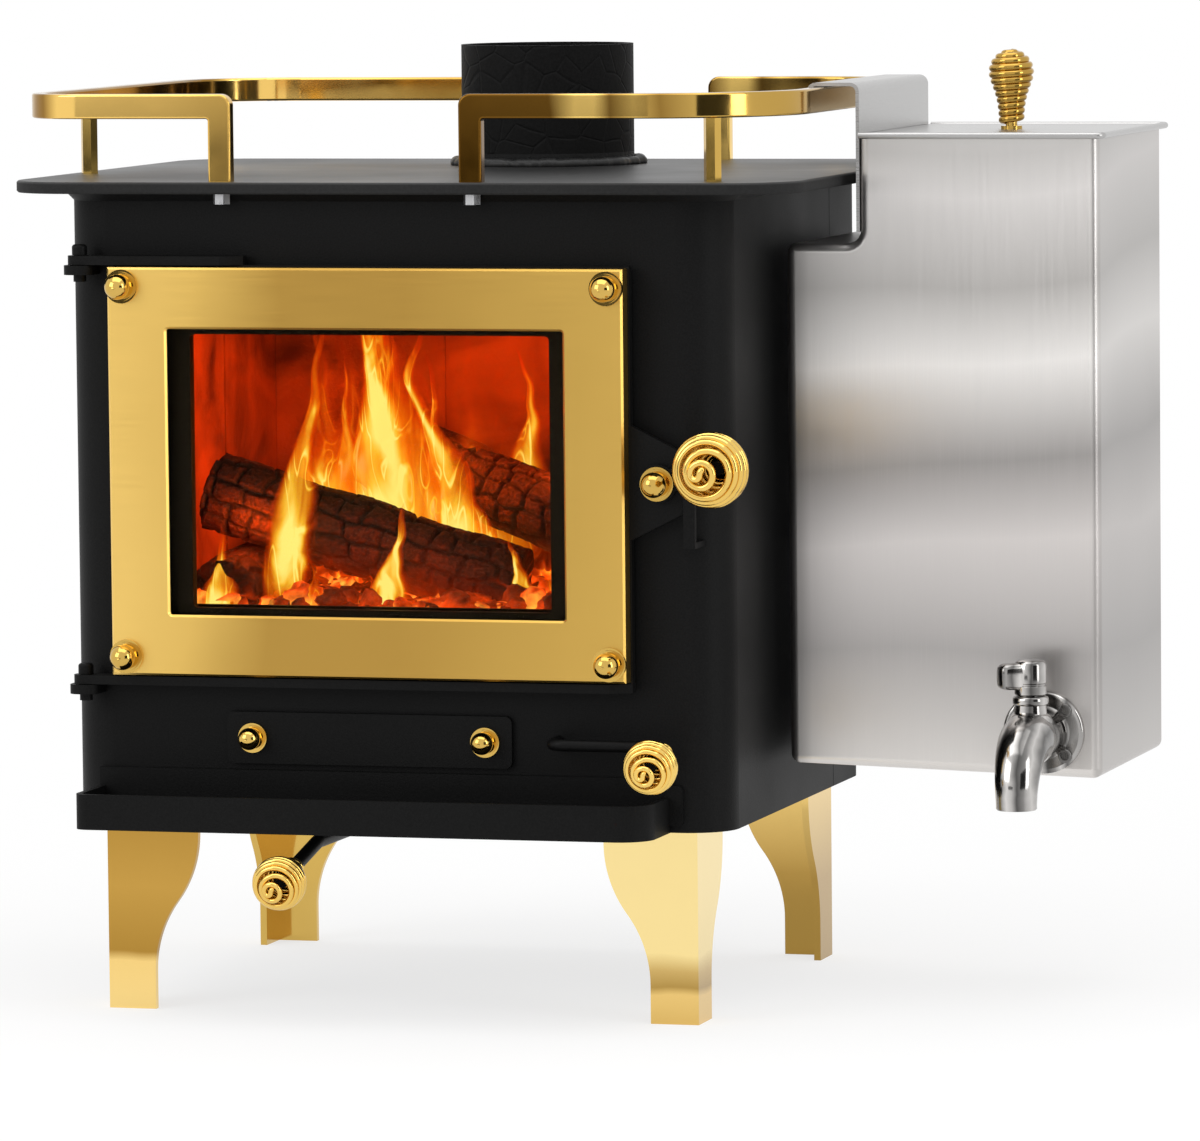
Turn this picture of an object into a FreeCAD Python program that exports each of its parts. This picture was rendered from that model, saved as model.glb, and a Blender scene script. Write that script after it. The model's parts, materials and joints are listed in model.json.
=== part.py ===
import FreeCAD, Part
import math
import os

V = FreeCAD.Vector

# Sizes in millimetres. X runs to the right, Y to the back, Z up.
# While it is built, the origin is the middle of the lower edge of the body's front face.

# Fits shared by the whole stove
FIT_GAP = 0.3
RUNNING_GAP = 0.08
SEAT_GAP = 0.3
OVERRUN = 2.0
ROUND_END_SHARE = 0.98
SOFT_END_SHARE = 0.85

# Body
BODY_WIDTH = 291.0
BODY_DEPTH = 240.0
BODY_HEIGHT = 268.0
BODY_CORNER = 20.0
SHELL_WALL = 4.0
SEAM_FROM_FRONT = 181.0
SEAM_GAP = 0.6
BASE_THICKNESS = 4.0
WELD_LEG = 3.5

# Cooktop
PLATE_THICKNESS = 5.0
PLATE_FRONT_LAP = 13.5
PLATE_REAR_LAP = 12.5
PLATE_LEFT_LAP = 24.0
PLATE_RIGHT_LAP = 31.0
PLATE_CORNER = 30.0
PLATE_EDGE = 0.7

# Flue collar
FLUE_DIAMETER = 76.2
FLUE_WALL = 3.0
FLUE_HEIGHT = 53.0
FLUE_X = 14.0
FLUE_Y = 195.0
FLUE_WELD = 4.0

# Rails round the cooktop
RAIL_TOP = 37.0
RAIL_BAR = 10.5
RAIL_THICKNESS = 6.0
RAIL_INSET = 6.0
RAIL_LEG = 10.0
RAIL_BEND = 5.0
RAIL_EDGE = 1.0
LEFT_RAIL_FRONT_X = -72.0
LEFT_RAIL_REAR_X = -12.0
LEFT_RAIL_FRONT_CORNER = 28.0
LEFT_RAIL_REAR_CORNER = 48.0
RIGHT_RAIL_FRONT_X = 38.5
RIGHT_RAIL_REAR_X = 80.0
RIGHT_RAIL_FRONT_CORNER = 60.0
RIGHT_RAIL_REAR_CORNER = 45.0
POST_FLATS = 6.5
LEFT_POST_Y = 80.0
FRONT_POST_ANGLE = 58.0
RAIL_SCREW = 4.0
RAIL_SCREW_FLATS = 6.4
RAIL_SCREW_HEAD = 4.5
RAIL_SCREW_GRIP = 10.0

# Ash shelf
SHELF_REACH = 38.0
SHELF_LEFT_INSET = 14.5
SHELF_RIGHT_INSET = 24.5
SHELF_SHEET = 2.5
SHELF_LIP = 15.0
SHELF_BACK = 23.0
SHELF_LEFT_CORNER = 6.0
SHELF_RIGHT_CORNER = 14.0
SHELF_TAB_WIDTH = 6.0
SHELF_TAB_LOW = 3.0
SHELF_TAB_HIGH = 20.0
SHELF_TAB_CORNER = 2.0

# Legs
LEG_HEIGHT = 82.0
LEG_INSET_X = 14.5
LEG_INSET_Y = 6.0
LEG_TOP_WIDTH = 41.0
LEG_FOOT_WIDTH = 21.0
LEG_SHEET = 3.0
LEG_CURVE_TOP_SHARE = 0.07
LEG_CURVE_FOOT_SHARE = 0.80
LEG_TAB_CORNER = 13.0
LEG_BOLT = 6.0
LEG_BOLT_FLATS = 10.0
LEG_BOLT_HEAD = 4.0

# Door, placed by the middle of its window
DOOR_X = -7.0
DOOR_Z = 150.5
DOOR_GAP = 3.0
FRAME_THICKNESS = 4.0
FRAME_LAP = 0.8
TRIM_BORDER_SIDE = 26.15
TRIM_BORDER_TOP = 25.95
WINDOW_CORNER = 1.0
BORDER_SIDE = 8.0
BORDER_TOP = 2.5
SHELL_OPENING_LAP = 2.0
TRIM_WIDTH = 226.6
TRIM_HEIGHT = 173.2
TRIM_DEPTH = 8.0
TRIM_SHEET = 1.5
TRIM_BEVEL = 0.9
GLASS_THICKNESS = 4.0
GLASS_LAP = 7.0
GLASS_SEAL = 1.5
GLASS_SEAL_WIDTH = 5.0
ROPE_WIDTH = 8.0
ROPE_FROM_OPENING = 8.0

# Ball nuts and their studs
STUD = 5.0
STUD_GRIP = 5.0
STUD_CLEARANCE = 0.1
NUT_FLANGE = 7.2
NUT_STEP = 6.2
NUT_FLANGE_HEIGHT = 1.5
NUT_STEP_HEIGHT = 1.4
NUT_BALL = 5.4
NUT_NECK_SHARE = 0.8
TRIM_NUT_INSET_X = 6.8
TRIM_NUT_INSET_Z = 8.0

# Hinges
HINGE_REACH = 13.9
HINGE_STRAP = 3.8
HINGE_STRAP_DEPTH = 10.0
HINGE_STRAP_GAP = 2.0
HINGE_LUG = 4.0
HINGE_LUG_WIDTH = 13.0
HINGE_PIN = 5.5
HINGE_PIN_HEAD = 6.5
HINGE_PIN_HEAD_HEIGHT = 4.5
HINGE_PIN_CROWN = 1.4
HINGE_PIN_TAIL = 3.0
UPPER_STRAP_LENGTH = 73.0
STRAP_CHAMFER_LONG = 9.0
STRAP_CHAMFER_SHORT = 5.0

# Door latch
TAB_REACH = 22.0
TAB_ROOT = 48.0
TAB_TIP = 26.0
LATCH_FROM_FRAME = 12.5
LATCH_DROP = 3.0
LATCH_BOLT = 6.0
LATCH_NUT_GAP = 0.3
LEVER_THICKNESS = 3.0
LEVER_BOSS = 8.0
LEVER_WIDTH = 9.5
LEVER_LENGTH = 30.5
LEVER_REST_ANGLE = 15.0
KEEPER_WIDTH = 5.0
KEEPER_FROM_TAB = 2.5
KEEPER_SHEET = 2.5
KEEPER_GAP = 1.4
KEEPER_HEIGHT = 21.0
KEEPER_BELOW_LEVER = 4.0

# Wound handles
DOOR_COIL_WIRE = 2.4
DOOR_COIL_PITCH = 2.95
DOOR_COIL_BALL = 16.0
DOOR_COIL_TIP = 5.2
DOOR_COIL_NECK_TURN_COUNT = 2
DOOR_COIL_FILLET = 5.0
DOOR_COIL_STUD = 6.0
DOOR_COIL_STUD_LENGTH = 14.0
SMALL_COIL_WIRE = 1.9
SMALL_COIL_PITCH = 2.4
SMALL_COIL_BALL = 11.5
SMALL_COIL_TIP = 4.2
SMALL_COIL_NECK_TURN_COUNT = 3
SMALL_COIL_FILLET = 4.0
KNOB_COIL_WIRE = 1.5
KNOB_COIL_PITCH = 1.95
KNOB_COIL_BALL = 9.2
KNOB_COIL_TIP = 3.2
KNOB_COIL_NECK_TURN_COUNT = 4
KNOB_COIL_FILLET = 9.0
COIL_CORE_GAP = 0.3
COIL_SELF_GAP_LEAST = 0.4

# Air cover and primary air crank
COVER_FROM_CRANK = 19.8
COVER_Z = 36.8
COVER_WIDTH = 126.0
COVER_HEIGHT = 22.0
COVER_THICKNESS = 2.5
COVER_CORNER = 3.0
COVER_LAP = 5.0
COVER_NUT_INSET = 11.5
COVER_NUT_SHARE = 0.88
CRANK_FROM_SIDE = 73.0
CRANK_Z = 37.5
CRANK_ROD = 5.0
CRANK_ARM = 51.0
CRANK_STAND = 14.0
CRANK_BEND = 6.0
CRANK_STUB = 15.0
CRANK_SHAFT = 66.0
HANDLE_DROOP = 12.0
FLAP_LENGTH = 34.0
FLAP_WIDTH = 44.0
FLAP_SHEET = 2.0
FLAP_KNUCKLE_WALL = 2.0
FLAP_FROM_FRONT = 16.0
AIR_BOX_SHEET = 1.5
AIR_BOX_MARGIN = 8.0
AIR_BOX_SEAT = 4.0
AIR_HOLE = 10.0
AIR_HOLE_COUNT = 3

# Secondary air rod and damper under the base
DAMPER_X = -39.0
DAMPER_WIDTH = 70.0
DAMPER_LENGTH = 60.0
DAMPER_SHEET = 2.0
DAMPER_FRONT_Y = 62.0
DAMPER_TRAVEL = 30.0
DAMPER_ROD = 6.0
DAMPER_ROD_DROP = 9.0
DAMPER_ROD_BEND = 12.0
DAMPER_ROD_KNEE_Y = 14.0
DAMPER_STUB = 46.0
DAMPER_LUG = 3.0
DAMPER_LUG_WIDTH = 12.0
GUIDE_SHEET = 2.0
GUIDE_LIP = 6.0
SLOT_WIDTH = 8.0
SLOT_COUNT = 3

# Firebox lining and fuel
FLOOR_Z = 56.0
FLOOR_SHEET = 4.0
BRICK_SIDE = 20.0
BRICK_FLOOR = 16.0
BRICK_HEIGHT = 154.0
BRICK_JOINT = 2.0
BRICK_JOINT_DEPTH = 1.5
BRICK_JOINT_COUNT = 2
BAFFLE_SHEET = 4.0
BAFFLE_FROM_FRONT = 66.0
GUARD_SHEET = 3.0
GUARD_HEIGHT = 16.0
GUARD_FROM_FRONT = 12.0
GUARD_END_GAP = 24.0
EMBER_HEIGHT = 14.0
EMBER_MARGIN = 9.0
EMBER_SLOPE = 12.0
EMBER_CORNER = 24.0
LOG_RADIUS = 17.0
LOG_FLAT_SHARE = 0.55
FRONT_LOG_SHARE = 0.62
PROP_LOG_SHARE = 0.36
PROP_LOG_X_SHARE = -0.36
PROP_LOG_Y_SHARE = 0.36
FRONT_LOG_Y_SHARE = 0.30
FRONT_LOG_RUN_SHARE = 0.53
REAR_LOG_SHARE = 0.50
REAR_LOG_X_SHARE = -0.14
REAR_LOG_Y_SHARE = 0.74
CROSS_LOG_X_SHARE = 0.02
CROSS_LOG_RUN_SHARE = 0.38
CROSS_LOG_SHARE = 0.46
LEAN_STEP_COUNT = 12

# Water tank at the right side
TANK_BODY_GAP = 6.9
TANK_PLATE_GAP = 8.2
TANK_TOP_WIDTH = 103.6
TANK_FRONT_Y = 78.7
TANK_DEPTH = 127.0
TANK_BOTTOM_Z = 21.6
TANK_FALL = 4.3
TANK_LEDGE_DROP = 24.4
TANK_RISE = 15.6
TANK_SHEET = 1.2
TANK_BEND = 4.0
TANK_LEDGE_BEND = 6.0
HOOK_SHEET = 1.5
HOOK_LAP = 40.0
HOOK_BEND = 4.0
HOOK_INSET = 1.0
HOOK_LIP = 12.0
HOOK_RAIL_GAP = 1.2
HOOK_LIFT = 15.0
LID_LAP = 2.0
LID_SKIRT = 8.0
LID_SKIRT_GAP = 0.6
LID_BEAD = 1.4
LID_CORNER = 3.0
LID_HOOK_GAP = 0.5
KNOB_STUD = 5.0
KNOB_FLANGE = 4.6
KNOB_FLANGE_HEIGHT = 1.4
KNOB_STUD_LENGTH = 15.0
KNOB_SCREW_HEAD = 4.0
KNOB_SCREW_HEAD_HEIGHT = 2.0

# Tap on the tank's front
TAP_FROM_RIGHT = 24.3
TAP_ABOVE_FLOOR = 15.4
TAP_FLANGE = 17.5
TAP_FLANGE_THICKNESS = 3.0
TAP_FLANGE_EDGE = 1.0
TAP_PIPE = 8.5
TAP_BORE = 5.5
TAP_REACH = 26.0
TAP_BEND = 21.0
TAP_DROP = 6.0
TAP_TAIL = 7.0
TAP_TAIL_LENGTH = 12.0
TAP_TAIL_BORE = 4.0
TAP_NUT_FLATS = 19.0
TAP_NUT = 5.0
TAP_STEM = 6.4
TAP_STEM_TOP = 18.0
TAP_PLUG = 4.6
TAP_PLUG_DROP = 7.0
TAP_PLUG_BORE = 3.2
TAP_CAP = 6.8
TAP_CAP_HEIGHT = 15.0
TAP_CAP_EDGE = 1.6
TAP_LEVER = 9.0
TAP_LEVER_WIDTH = 8.5
TAP_LEVER_HEIGHT = 11.5
TAP_LEVER_ANGLE = 215.0
TAP_SCREW = 3.0
TAP_SCREW_HEAD = 2.7
TAP_SCREW_HEAD_HEIGHT = 1.4
TAP_SCREW_CIRCLE = 13.6
TAP_SCREW_COUNT = 4

# Places that several pieces share
PLATE_TOP = BODY_HEIGHT + PLATE_THICKNESS
PLATE_LEFT = -BODY_WIDTH / 2 - PLATE_LEFT_LAP
PLATE_RIGHT = BODY_WIDTH / 2 + PLATE_RIGHT_LAP
PLATE_FRONT = -PLATE_FRONT_LAP
PLATE_REAR = BODY_DEPTH + PLATE_REAR_LAP
RAIL_TOP_Z = PLATE_TOP + RAIL_TOP
RAIL_LOW_Z = RAIL_TOP_Z - RAIL_BAR
RAIL_LEFT = PLATE_LEFT + RAIL_INSET
RAIL_RIGHT = PLATE_RIGHT - RAIL_INSET
RAIL_FRONT = PLATE_FRONT + RAIL_INSET
RAIL_REAR = PLATE_REAR - RAIL_INSET
LEG_X = BODY_WIDTH / 2 - LEG_INSET_X
SHELF_LEFT_X = SHELF_LEFT_INSET - BODY_WIDTH / 2
SHELF_RIGHT_X = BODY_WIDTH / 2 - SHELF_RIGHT_INSET
CRANK_X = BODY_WIDTH / 2 - CRANK_FROM_SIDE
COVER_X = CRANK_X - COVER_FROM_CRANK - COVER_WIDTH / 2
FRAME_BACK_Y = -DOOR_GAP
FRAME_FRONT_Y = FRAME_BACK_Y - FRAME_THICKNESS
TRIM_FRONT_Y = FRAME_FRONT_Y - TRIM_DEPTH
FRAME_RIGHT = DOOR_X + TRIM_WIDTH / 2 + FRAME_LAP
FRAME_LEFT = DOOR_X - TRIM_WIDTH / 2 - FRAME_LAP
FRAME_TOP = DOOR_Z + TRIM_HEIGHT / 2 + FRAME_LAP
FRAME_BOTTOM = DOOR_Z - TRIM_HEIGHT / 2 - FRAME_LAP
WINDOW_WIDTH = TRIM_WIDTH - 2 * TRIM_BORDER_SIDE
WINDOW_HEIGHT = TRIM_HEIGHT - 2 * TRIM_BORDER_TOP
OPENING_WIDTH = WINDOW_WIDTH - 2 * BORDER_SIDE
OPENING_HEIGHT = WINDOW_HEIGHT - 2 * BORDER_TOP
HINGE_X = FRAME_LEFT - HINGE_REACH
HINGE_Y = -HINGE_STRAP_GAP - HINGE_STRAP_DEPTH / 2
LATCH_X = FRAME_RIGHT + LATCH_FROM_FRAME
LATCH_Z = DOOR_Z - LATCH_DROP
LEVER_BACK_Y = FRAME_FRONT_Y - SEAT_GAP
LEVER_FRONT_Y = LEVER_BACK_Y - LEVER_THICKNESS
AIR_BOX_TOP = CRANK_Z - CRANK_ROD / 2 - FLAP_KNUCKLE_WALL - SEAT_GAP
DAMPER_TOP_Z = -SEAT_GAP
CHAMBER_HALF = BODY_WIDTH / 2 - SHELL_WALL - FIT_GAP - BRICK_SIDE
CHAMBER_BACK = BODY_DEPTH - SHELL_WALL - FIT_GAP - BRICK_SIDE
BRICK_BASE_Z = FLOOR_Z + FLOOR_SHEET
BED_Z = BRICK_BASE_Z + BRICK_FLOOR
EMBER_TOP = BED_Z + EMBER_HEIGHT
TANK_LEFT_X = BODY_WIDTH / 2 + TANK_BODY_GAP
TANK_SHOULDER_X = PLATE_RIGHT + TANK_PLATE_GAP
TANK_RIGHT_X = TANK_SHOULDER_X + TANK_TOP_WIDTH
TANK_LEDGE_Z = BODY_HEIGHT - TANK_LEDGE_DROP
TANK_TOP_Z = PLATE_TOP + TANK_RISE
TANK_REAR_Y = TANK_FRONT_Y + TANK_DEPTH
KNOB_X = TANK_SHOULDER_X + TANK_TOP_WIDTH / 2
TAP_X = TANK_RIGHT_X - TAP_FROM_RIGHT
TAP_Z = TANK_BOTTOM_Z + TAP_ABOVE_FLOOR
TANK_MIDDLE_Y = TANK_FRONT_Y + TANK_DEPTH / 2
HOOK_TOP_Z = RAIL_TOP_Z + SEAT_GAP + HOOK_SHEET
HOOK_INNER_X = RAIL_RIGHT - RAIL_THICKNESS - HOOK_RAIL_GAP
LID_Z = TANK_TOP_Z + SEAT_GAP
TAP_STEM_Y = TANK_FRONT_Y - TAP_REACH


# Basic forms
def box(x0, x1, y0, y1, z0, z1):
    return Part.makeBox(x1 - x0, y1 - y0, z1 - z0, V(x0, y0, z0))


def rod(start, end, radius):
    return Part.makeCylinder(radius, start.distanceToPoint(end), start, end - start)


def rounded_edges(points, radii, closed=True):
    """Straight runs through the points, with an arc of each point's radius."""
    count = len(points)
    corners = []
    for i, (corner, radius) in enumerate(zip(points, radii)):
        if radius == 0:
            corners.append((corner, None, corner))
            continue
        back = (points[i - 1] - corner).normalize()
        ahead = (points[(i + 1) % count] - corner).normalize()
        half = back.getAngle(ahead) / 2
        run = radius / math.tan(half)
        inward = (back + ahead).normalize()
        middle = corner + inward * (radius / math.sin(half) - radius)
        corners.append((corner + back * run, middle, corner + ahead * run))
    edges = []
    for i, (start, middle, end) in enumerate(corners):
        if middle is not None:
            edges.append(Part.Arc(start, middle, end).toShape())
        following = corners[(i + 1) % count][0]
        if closed or i < count - 1:
            edges.append(Part.LineSegment(end, following).toShape())
    return edges


def prism(points, radii, run):
    return Part.Face(Part.Wire(rounded_edges(points, radii))).extrude(run)


def slab_xy(x0, x1, y0, y1, z0, z1, radii):
    points = [V(x0, y0, z0), V(x1, y0, z0), V(x1, y1, z0), V(x0, y1, z0)]
    return prism(points, radii, V(0, 0, z1 - z0))


def slab_xz(x0, x1, z0, z1, y0, y1, radius=0):
    points = [V(x0, y0, z0), V(x1, y0, z0), V(x1, y0, z1), V(x0, y0, z1)]
    return prism(points, [radius] * len(points), V(0, y1 - y0, 0))


def window_ring(x, z, width, height, rim_x, rim_z, y0, y1, radius=0):
    """A flat frame round a rectangle, standing in an XZ plane."""
    outer = slab_xz(x - width / 2 - rim_x, x + width / 2 + rim_x,
                    z - height / 2 - rim_z, z + height / 2 + rim_z, y0, y1)
    inner = slab_xz(x - width / 2, x + width / 2, z - height / 2, z + height / 2,
                    y0 - OVERRUN, y1 + OVERRUN, radius)
    return outer.cut(inner)


def hexagon_radius(flats):
    return flats / 2 / math.cos(math.pi / 6)


def hexagon(flats, height, base):
    radius = hexagon_radius(flats)
    points = []
    for k in range(6):
        angle = math.pi * k / 3
        points.append(base + V(radius * math.cos(angle), radius * math.sin(angle), 0))
    return prism(points, [0] * len(points), V(0, 0, height))


def aimed(shape, base, direction):
    """A copy whose own +Z axis points along the direction, with its origin at the base."""
    turned = shape.copy()
    place = FreeCAD.Placement(base, FreeCAD.Rotation(V(0, 0, 1), direction))
    turned.Placement = place.multiply(shape.Placement)
    return turned


def swept(points, radii, radius):
    path = Part.Wire(rounded_edges(points, radii, closed=False))
    start = Part.Circle(points[0], points[1] - points[0], radius)
    return path.makePipeShell([Part.Wire(start.toShape())], True, False)


def bent_sheet(points, radii, thickness, run):
    path = Part.Wire(rounded_edges(points, radii, closed=False))
    return path.makeOffset2D(thickness, 0, True, True, False).extrude(run)


def ball_nut(scale_share=1.0):
    """A domed ball nut with a stepped flange, seated on Z = 0."""
    flange = NUT_FLANGE * scale_share
    step = NUT_STEP * scale_share
    ball = NUT_BALL * scale_share
    neck = ball * NUT_NECK_SHARE
    step_base = NUT_FLANGE_HEIGHT
    neck_base = step_base + NUT_STEP_HEIGHT
    centre = neck_base + math.sqrt(ball ** 2 - neck ** 2)
    bore = STUD / 2 + STUD_CLEARANCE
    roof = neck_base + STUD_GRIP
    arc = Part.Arc(V(neck, 0, neck_base), V(ball, 0, centre), V(0, 0, centre + ball))
    line = [V(0, 0, centre + ball), V(0, 0, roof), V(bore, 0, roof), V(bore, 0, 0), V(flange, 0, 0),
            V(flange, 0, step_base), V(step, 0, step_base), V(step, 0, neck_base), V(neck, 0, neck_base)]
    edges = [arc.toShape()]
    edges += [Part.LineSegment(a, b).toShape() for a, b in zip(line, line[1:])]
    return Part.Face(Part.Wire(edges)).revolve(V(0, 0, 0), V(0, 0, 1), 360)


def stud_length(seat):
    return seat + NUT_FLANGE_HEIGHT + NUT_STEP_HEIGHT + STUD_GRIP - STUD_CLEARANCE


# Wound handles: one wire on a neck, round a ball and in to the middle of its crown
def biarc(p0, t0, p1, t1):
    chord = p1 - p0
    both = t0 + t1
    bend = 2 * (1 - t0.dot(t1))
    along = chord.dot(both)
    if bend < 1e-9:
        reach = chord.dot(chord) / (2 * along)
    else:
        reach = (math.sqrt(along ** 2 + bend * chord.dot(chord)) - along) / bend
    joint = (p0 + p1 + (t0 - t1) * reach) / 2
    return [Part.Arc(p0, arc_middle(p0, t0, joint), joint).toShape(),
            Part.Arc(joint, arc_middle(p1, t1 * -1, joint), p1).toShape()]


def arc_middle(start, tangent, end):
    chord = end - start
    side = chord - tangent * chord.dot(tangent)
    side.normalize()
    radius = chord.dot(chord) / (2 * chord.dot(side))
    centre = start + side * radius
    outward = (start - centre) + (end - centre)
    outward.normalize()
    return centre + outward * radius


class CoilLine:
    """The line on which a wire is wound: an upright neck, a hollow fillet and a ball."""

    def __init__(self, pitch, turns, neck, fillet, ball, tip):
        self.neck = neck
        self.fillet = fillet
        self.ball = ball
        self.ball_start = math.asin((neck + fillet) / (ball + fillet))
        self.neck_run = turns * pitch
        self.fillet_end = self.neck_run + fillet * (math.pi / 2 - self.ball_start)
        self.total = self.fillet_end + ball * (math.pi - math.asin(tip / ball) - self.ball_start)
        self.centre = self.neck_run + math.sqrt((ball + fillet) ** 2 - (neck + fillet) ** 2)
        self.count = round(2 * self.total / pitch)

    def at(self, run):
        """Radius, height and their slopes at a run along the line."""
        if run < self.neck_run:
            return self.neck, run, 0, 1
        if run < self.fillet_end:
            turn = (run - self.neck_run) / self.fillet
            radius = self.neck + self.fillet * (1 - math.cos(turn))
            return radius, self.neck_run + self.fillet * math.sin(turn), math.sin(turn), math.cos(turn)
        turn = self.ball_start + (run - self.fillet_end) / self.ball
        return (self.ball * math.sin(turn), self.centre - self.ball * math.cos(turn),
                math.cos(turn), math.sin(turn))


def coil_stations(line):
    """Points and directions of the wire at every half turn, then round the crown."""
    rate = line.total / line.count / math.pi
    stations = []
    for k in range(line.count + 1):
        radius, height, out, up = line.at(line.total * k / line.count)
        radial = V(math.cos(math.pi * k), math.sin(math.pi * k), 0)
        around = V(-math.sin(math.pi * k), math.cos(math.pi * k), 0)
        along = radial * (out * rate) + V(0, 0, up * rate) + around * radius
        stations.append((radial * radius + V(0, 0, height), along.normalize()))
    crown = radial * (radius / 2) + V(0, 0, height)
    stations.append((crown + around * (radius / 2), radial * -1))
    stations.append((crown - radial * (radius / 2), around * -1))
    return stations


def coil_gap(edges, wire):
    """The least gap between turns, measured between points along the wire."""
    points = []
    for edge in edges:
        points += edge.discretize(Number=8)[:-1]
    nearest = None
    for i, point in enumerate(points):
        travelled = 0.0
        last = point
        for other in points[i + 1:]:
            travelled += last.distanceToPoint(other)
            last = other
            gap = point.distanceToPoint(other)
            if travelled > 3 * wire and (nearest is None or gap < nearest):
                nearest = gap
    return nearest - wire


def coil(name, wire, pitch, turns, core, fillet, ball_outer, tip):
    neck = core / 2 + COIL_CORE_GAP + wire / 2
    stations = coil_stations(CoilLine(pitch, turns, neck, fillet, ball_outer - wire / 2, tip))
    first, heading = stations[0]
    last, leaving = stations[-1]
    edges = [Part.LineSegment(first - heading * wire, first).toShape()]
    for (p0, t0), (p1, t1) in zip(stations, stations[1:]):
        edges += biarc(p0, t0, p1, t1)
    edges.append(Part.LineSegment(last, last + leaving * wire).toShape())
    path = Part.Wire(edges)
    start = Part.Circle(first - heading * wire, heading, wire / 2)
    tube = path.makePipeShell([Part.Wire(start.toShape())], True, False)
    gap = coil_gap(edges, wire)
    fill = tube.Volume / (path.Length * math.pi * wire ** 2 / 4)
    print(name, "least gap %.2f, half turns %d, wire %.0f long, volume share %.4f"
          % (gap, len(stations), path.Length, fill))
    if gap < COIL_SELF_GAP_LEAST:
        raise ValueError(name + ": turns too close")
    tube.translate(V(0, 0, wire / 2 + SEAT_GAP))
    return tube


# Body
def body_outline(inset, z):
    half = BODY_WIDTH / 2 - inset
    rear = BODY_DEPTH - inset
    points = [V(-half, inset, z), V(half, inset, z), V(half, rear, z), V(-half, rear, z)]
    return Part.Wire(rounded_edges(points, [BODY_CORNER - inset] * len(points)))


def body_block(inset, z0, z1):
    return Part.Face(body_outline(inset, z0)).extrude(V(0, 0, z1 - z0))


def shell_tube():
    tube = body_block(0, 0, BODY_HEIGHT).fuse(weld_bead())
    return tube.cut(body_block(SHELL_WALL, -OVERRUN, BODY_HEIGHT + OVERRUN)).removeSplitter()


def weld_bead():
    """A sloping bead between the walls and the cooktop, left out round the rail screws."""
    low = BODY_HEIGHT - WELD_LEG
    bead = Part.makeLoft([body_outline(0, low), body_outline(-WELD_LEG, BODY_HEIGHT)], True, True)
    clear = hexagon_radius(RAIL_SCREW_FLATS) + FIT_GAP
    return bead.cut([rod(V(p.x, p.y, low - OVERRUN), p, clear) for p in rail_screw_points()])


def firebox_shell():
    half = BODY_WIDTH / 2 + WELD_LEG + OVERRUN
    front = box(-half, half, -WELD_LEG - OVERRUN, SEAM_FROM_FRONT, -OVERRUN, BODY_HEIGHT + OVERRUN)
    shell = shell_tube().common(front)
    lap = SHELL_OPENING_LAP
    shell = shell.cut(slab_xz(DOOR_X - OPENING_WIDTH / 2 - lap, DOOR_X + OPENING_WIDTH / 2 + lap,
                              DOOR_Z - OPENING_HEIGHT / 2 - lap, DOOR_Z + OPENING_HEIGHT / 2 + lap,
                              -OVERRUN, SHELL_WALL + OVERRUN, lap))
    shell = shell.cut(slab_xz(COVER_X - COVER_WIDTH / 2 + COVER_NUT_INSET + NUT_FLANGE,
                              COVER_X + COVER_WIDTH / 2 - COVER_NUT_INSET - NUT_FLANGE,
                              COVER_Z - COVER_HEIGHT / 2 + COVER_LAP, COVER_Z + COVER_HEIGHT / 2 - COVER_LAP,
                              -OVERRUN, SHELL_WALL + OVERRUN))
    shell = shell.cut(rod(V(CRANK_X, -OVERRUN, CRANK_Z), V(CRANK_X, SHELL_WALL + OVERRUN, CRANK_Z),
                          CRANK_ROD / 2 + RUNNING_GAP))
    for point in cover_nut_points():
        shell = shell.fuse(rod(point, point + V(0, -stud_length(COVER_THICKNESS), 0), STUD / 2))
    return shell


def rear_shell():
    half = BODY_WIDTH / 2 + WELD_LEG + OVERRUN
    rear = box(-half, half, SEAM_FROM_FRONT + SEAM_GAP, BODY_DEPTH + WELD_LEG + OVERRUN,
               -OVERRUN, BODY_HEIGHT + OVERRUN)
    return shell_tube().common(rear)


def leg_corners():
    """Outer corner of each leg, with the signs that point into the stove."""
    front = LEG_INSET_Y
    rear = BODY_DEPTH - LEG_INSET_Y
    return {"leg_front_left": (-LEG_X, front, 1, 1), "leg_front_right": (LEG_X, front, -1, 1),
            "leg_rear_left": (-LEG_X, rear, 1, -1), "leg_rear_right": (LEG_X, rear, -1, -1)}


def leg_bolt_points():
    reach = LEG_SHEET + (LEG_TOP_WIDTH - LEG_SHEET) / 2
    return [V(x + sx * reach, y + sy * reach, 0) for x, y, sx, sy in leg_corners().values()]


def air_hole_points():
    step = FLAP_WIDTH / AIR_HOLE_COUNT
    first = FLAP_FROM_FRONT + step / 2
    return [V(CRANK_X + FLAP_LENGTH / 2, first + step * k, 0) for k in range(AIR_HOLE_COUNT)]


def slot_boxes(z0, z1):
    step = DAMPER_LENGTH / (SLOT_COUNT + 1)
    half = DAMPER_WIDTH / 2 - GUIDE_LIP - SLOT_WIDTH
    slots = []
    for k in range(SLOT_COUNT):
        y = DAMPER_FRONT_Y + step * (k + 1)
        slots.append(box(DAMPER_X - half, DAMPER_X + half, y - SLOT_WIDTH / 2, y + SLOT_WIDTH / 2, z0, z1))
    return slots


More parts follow.
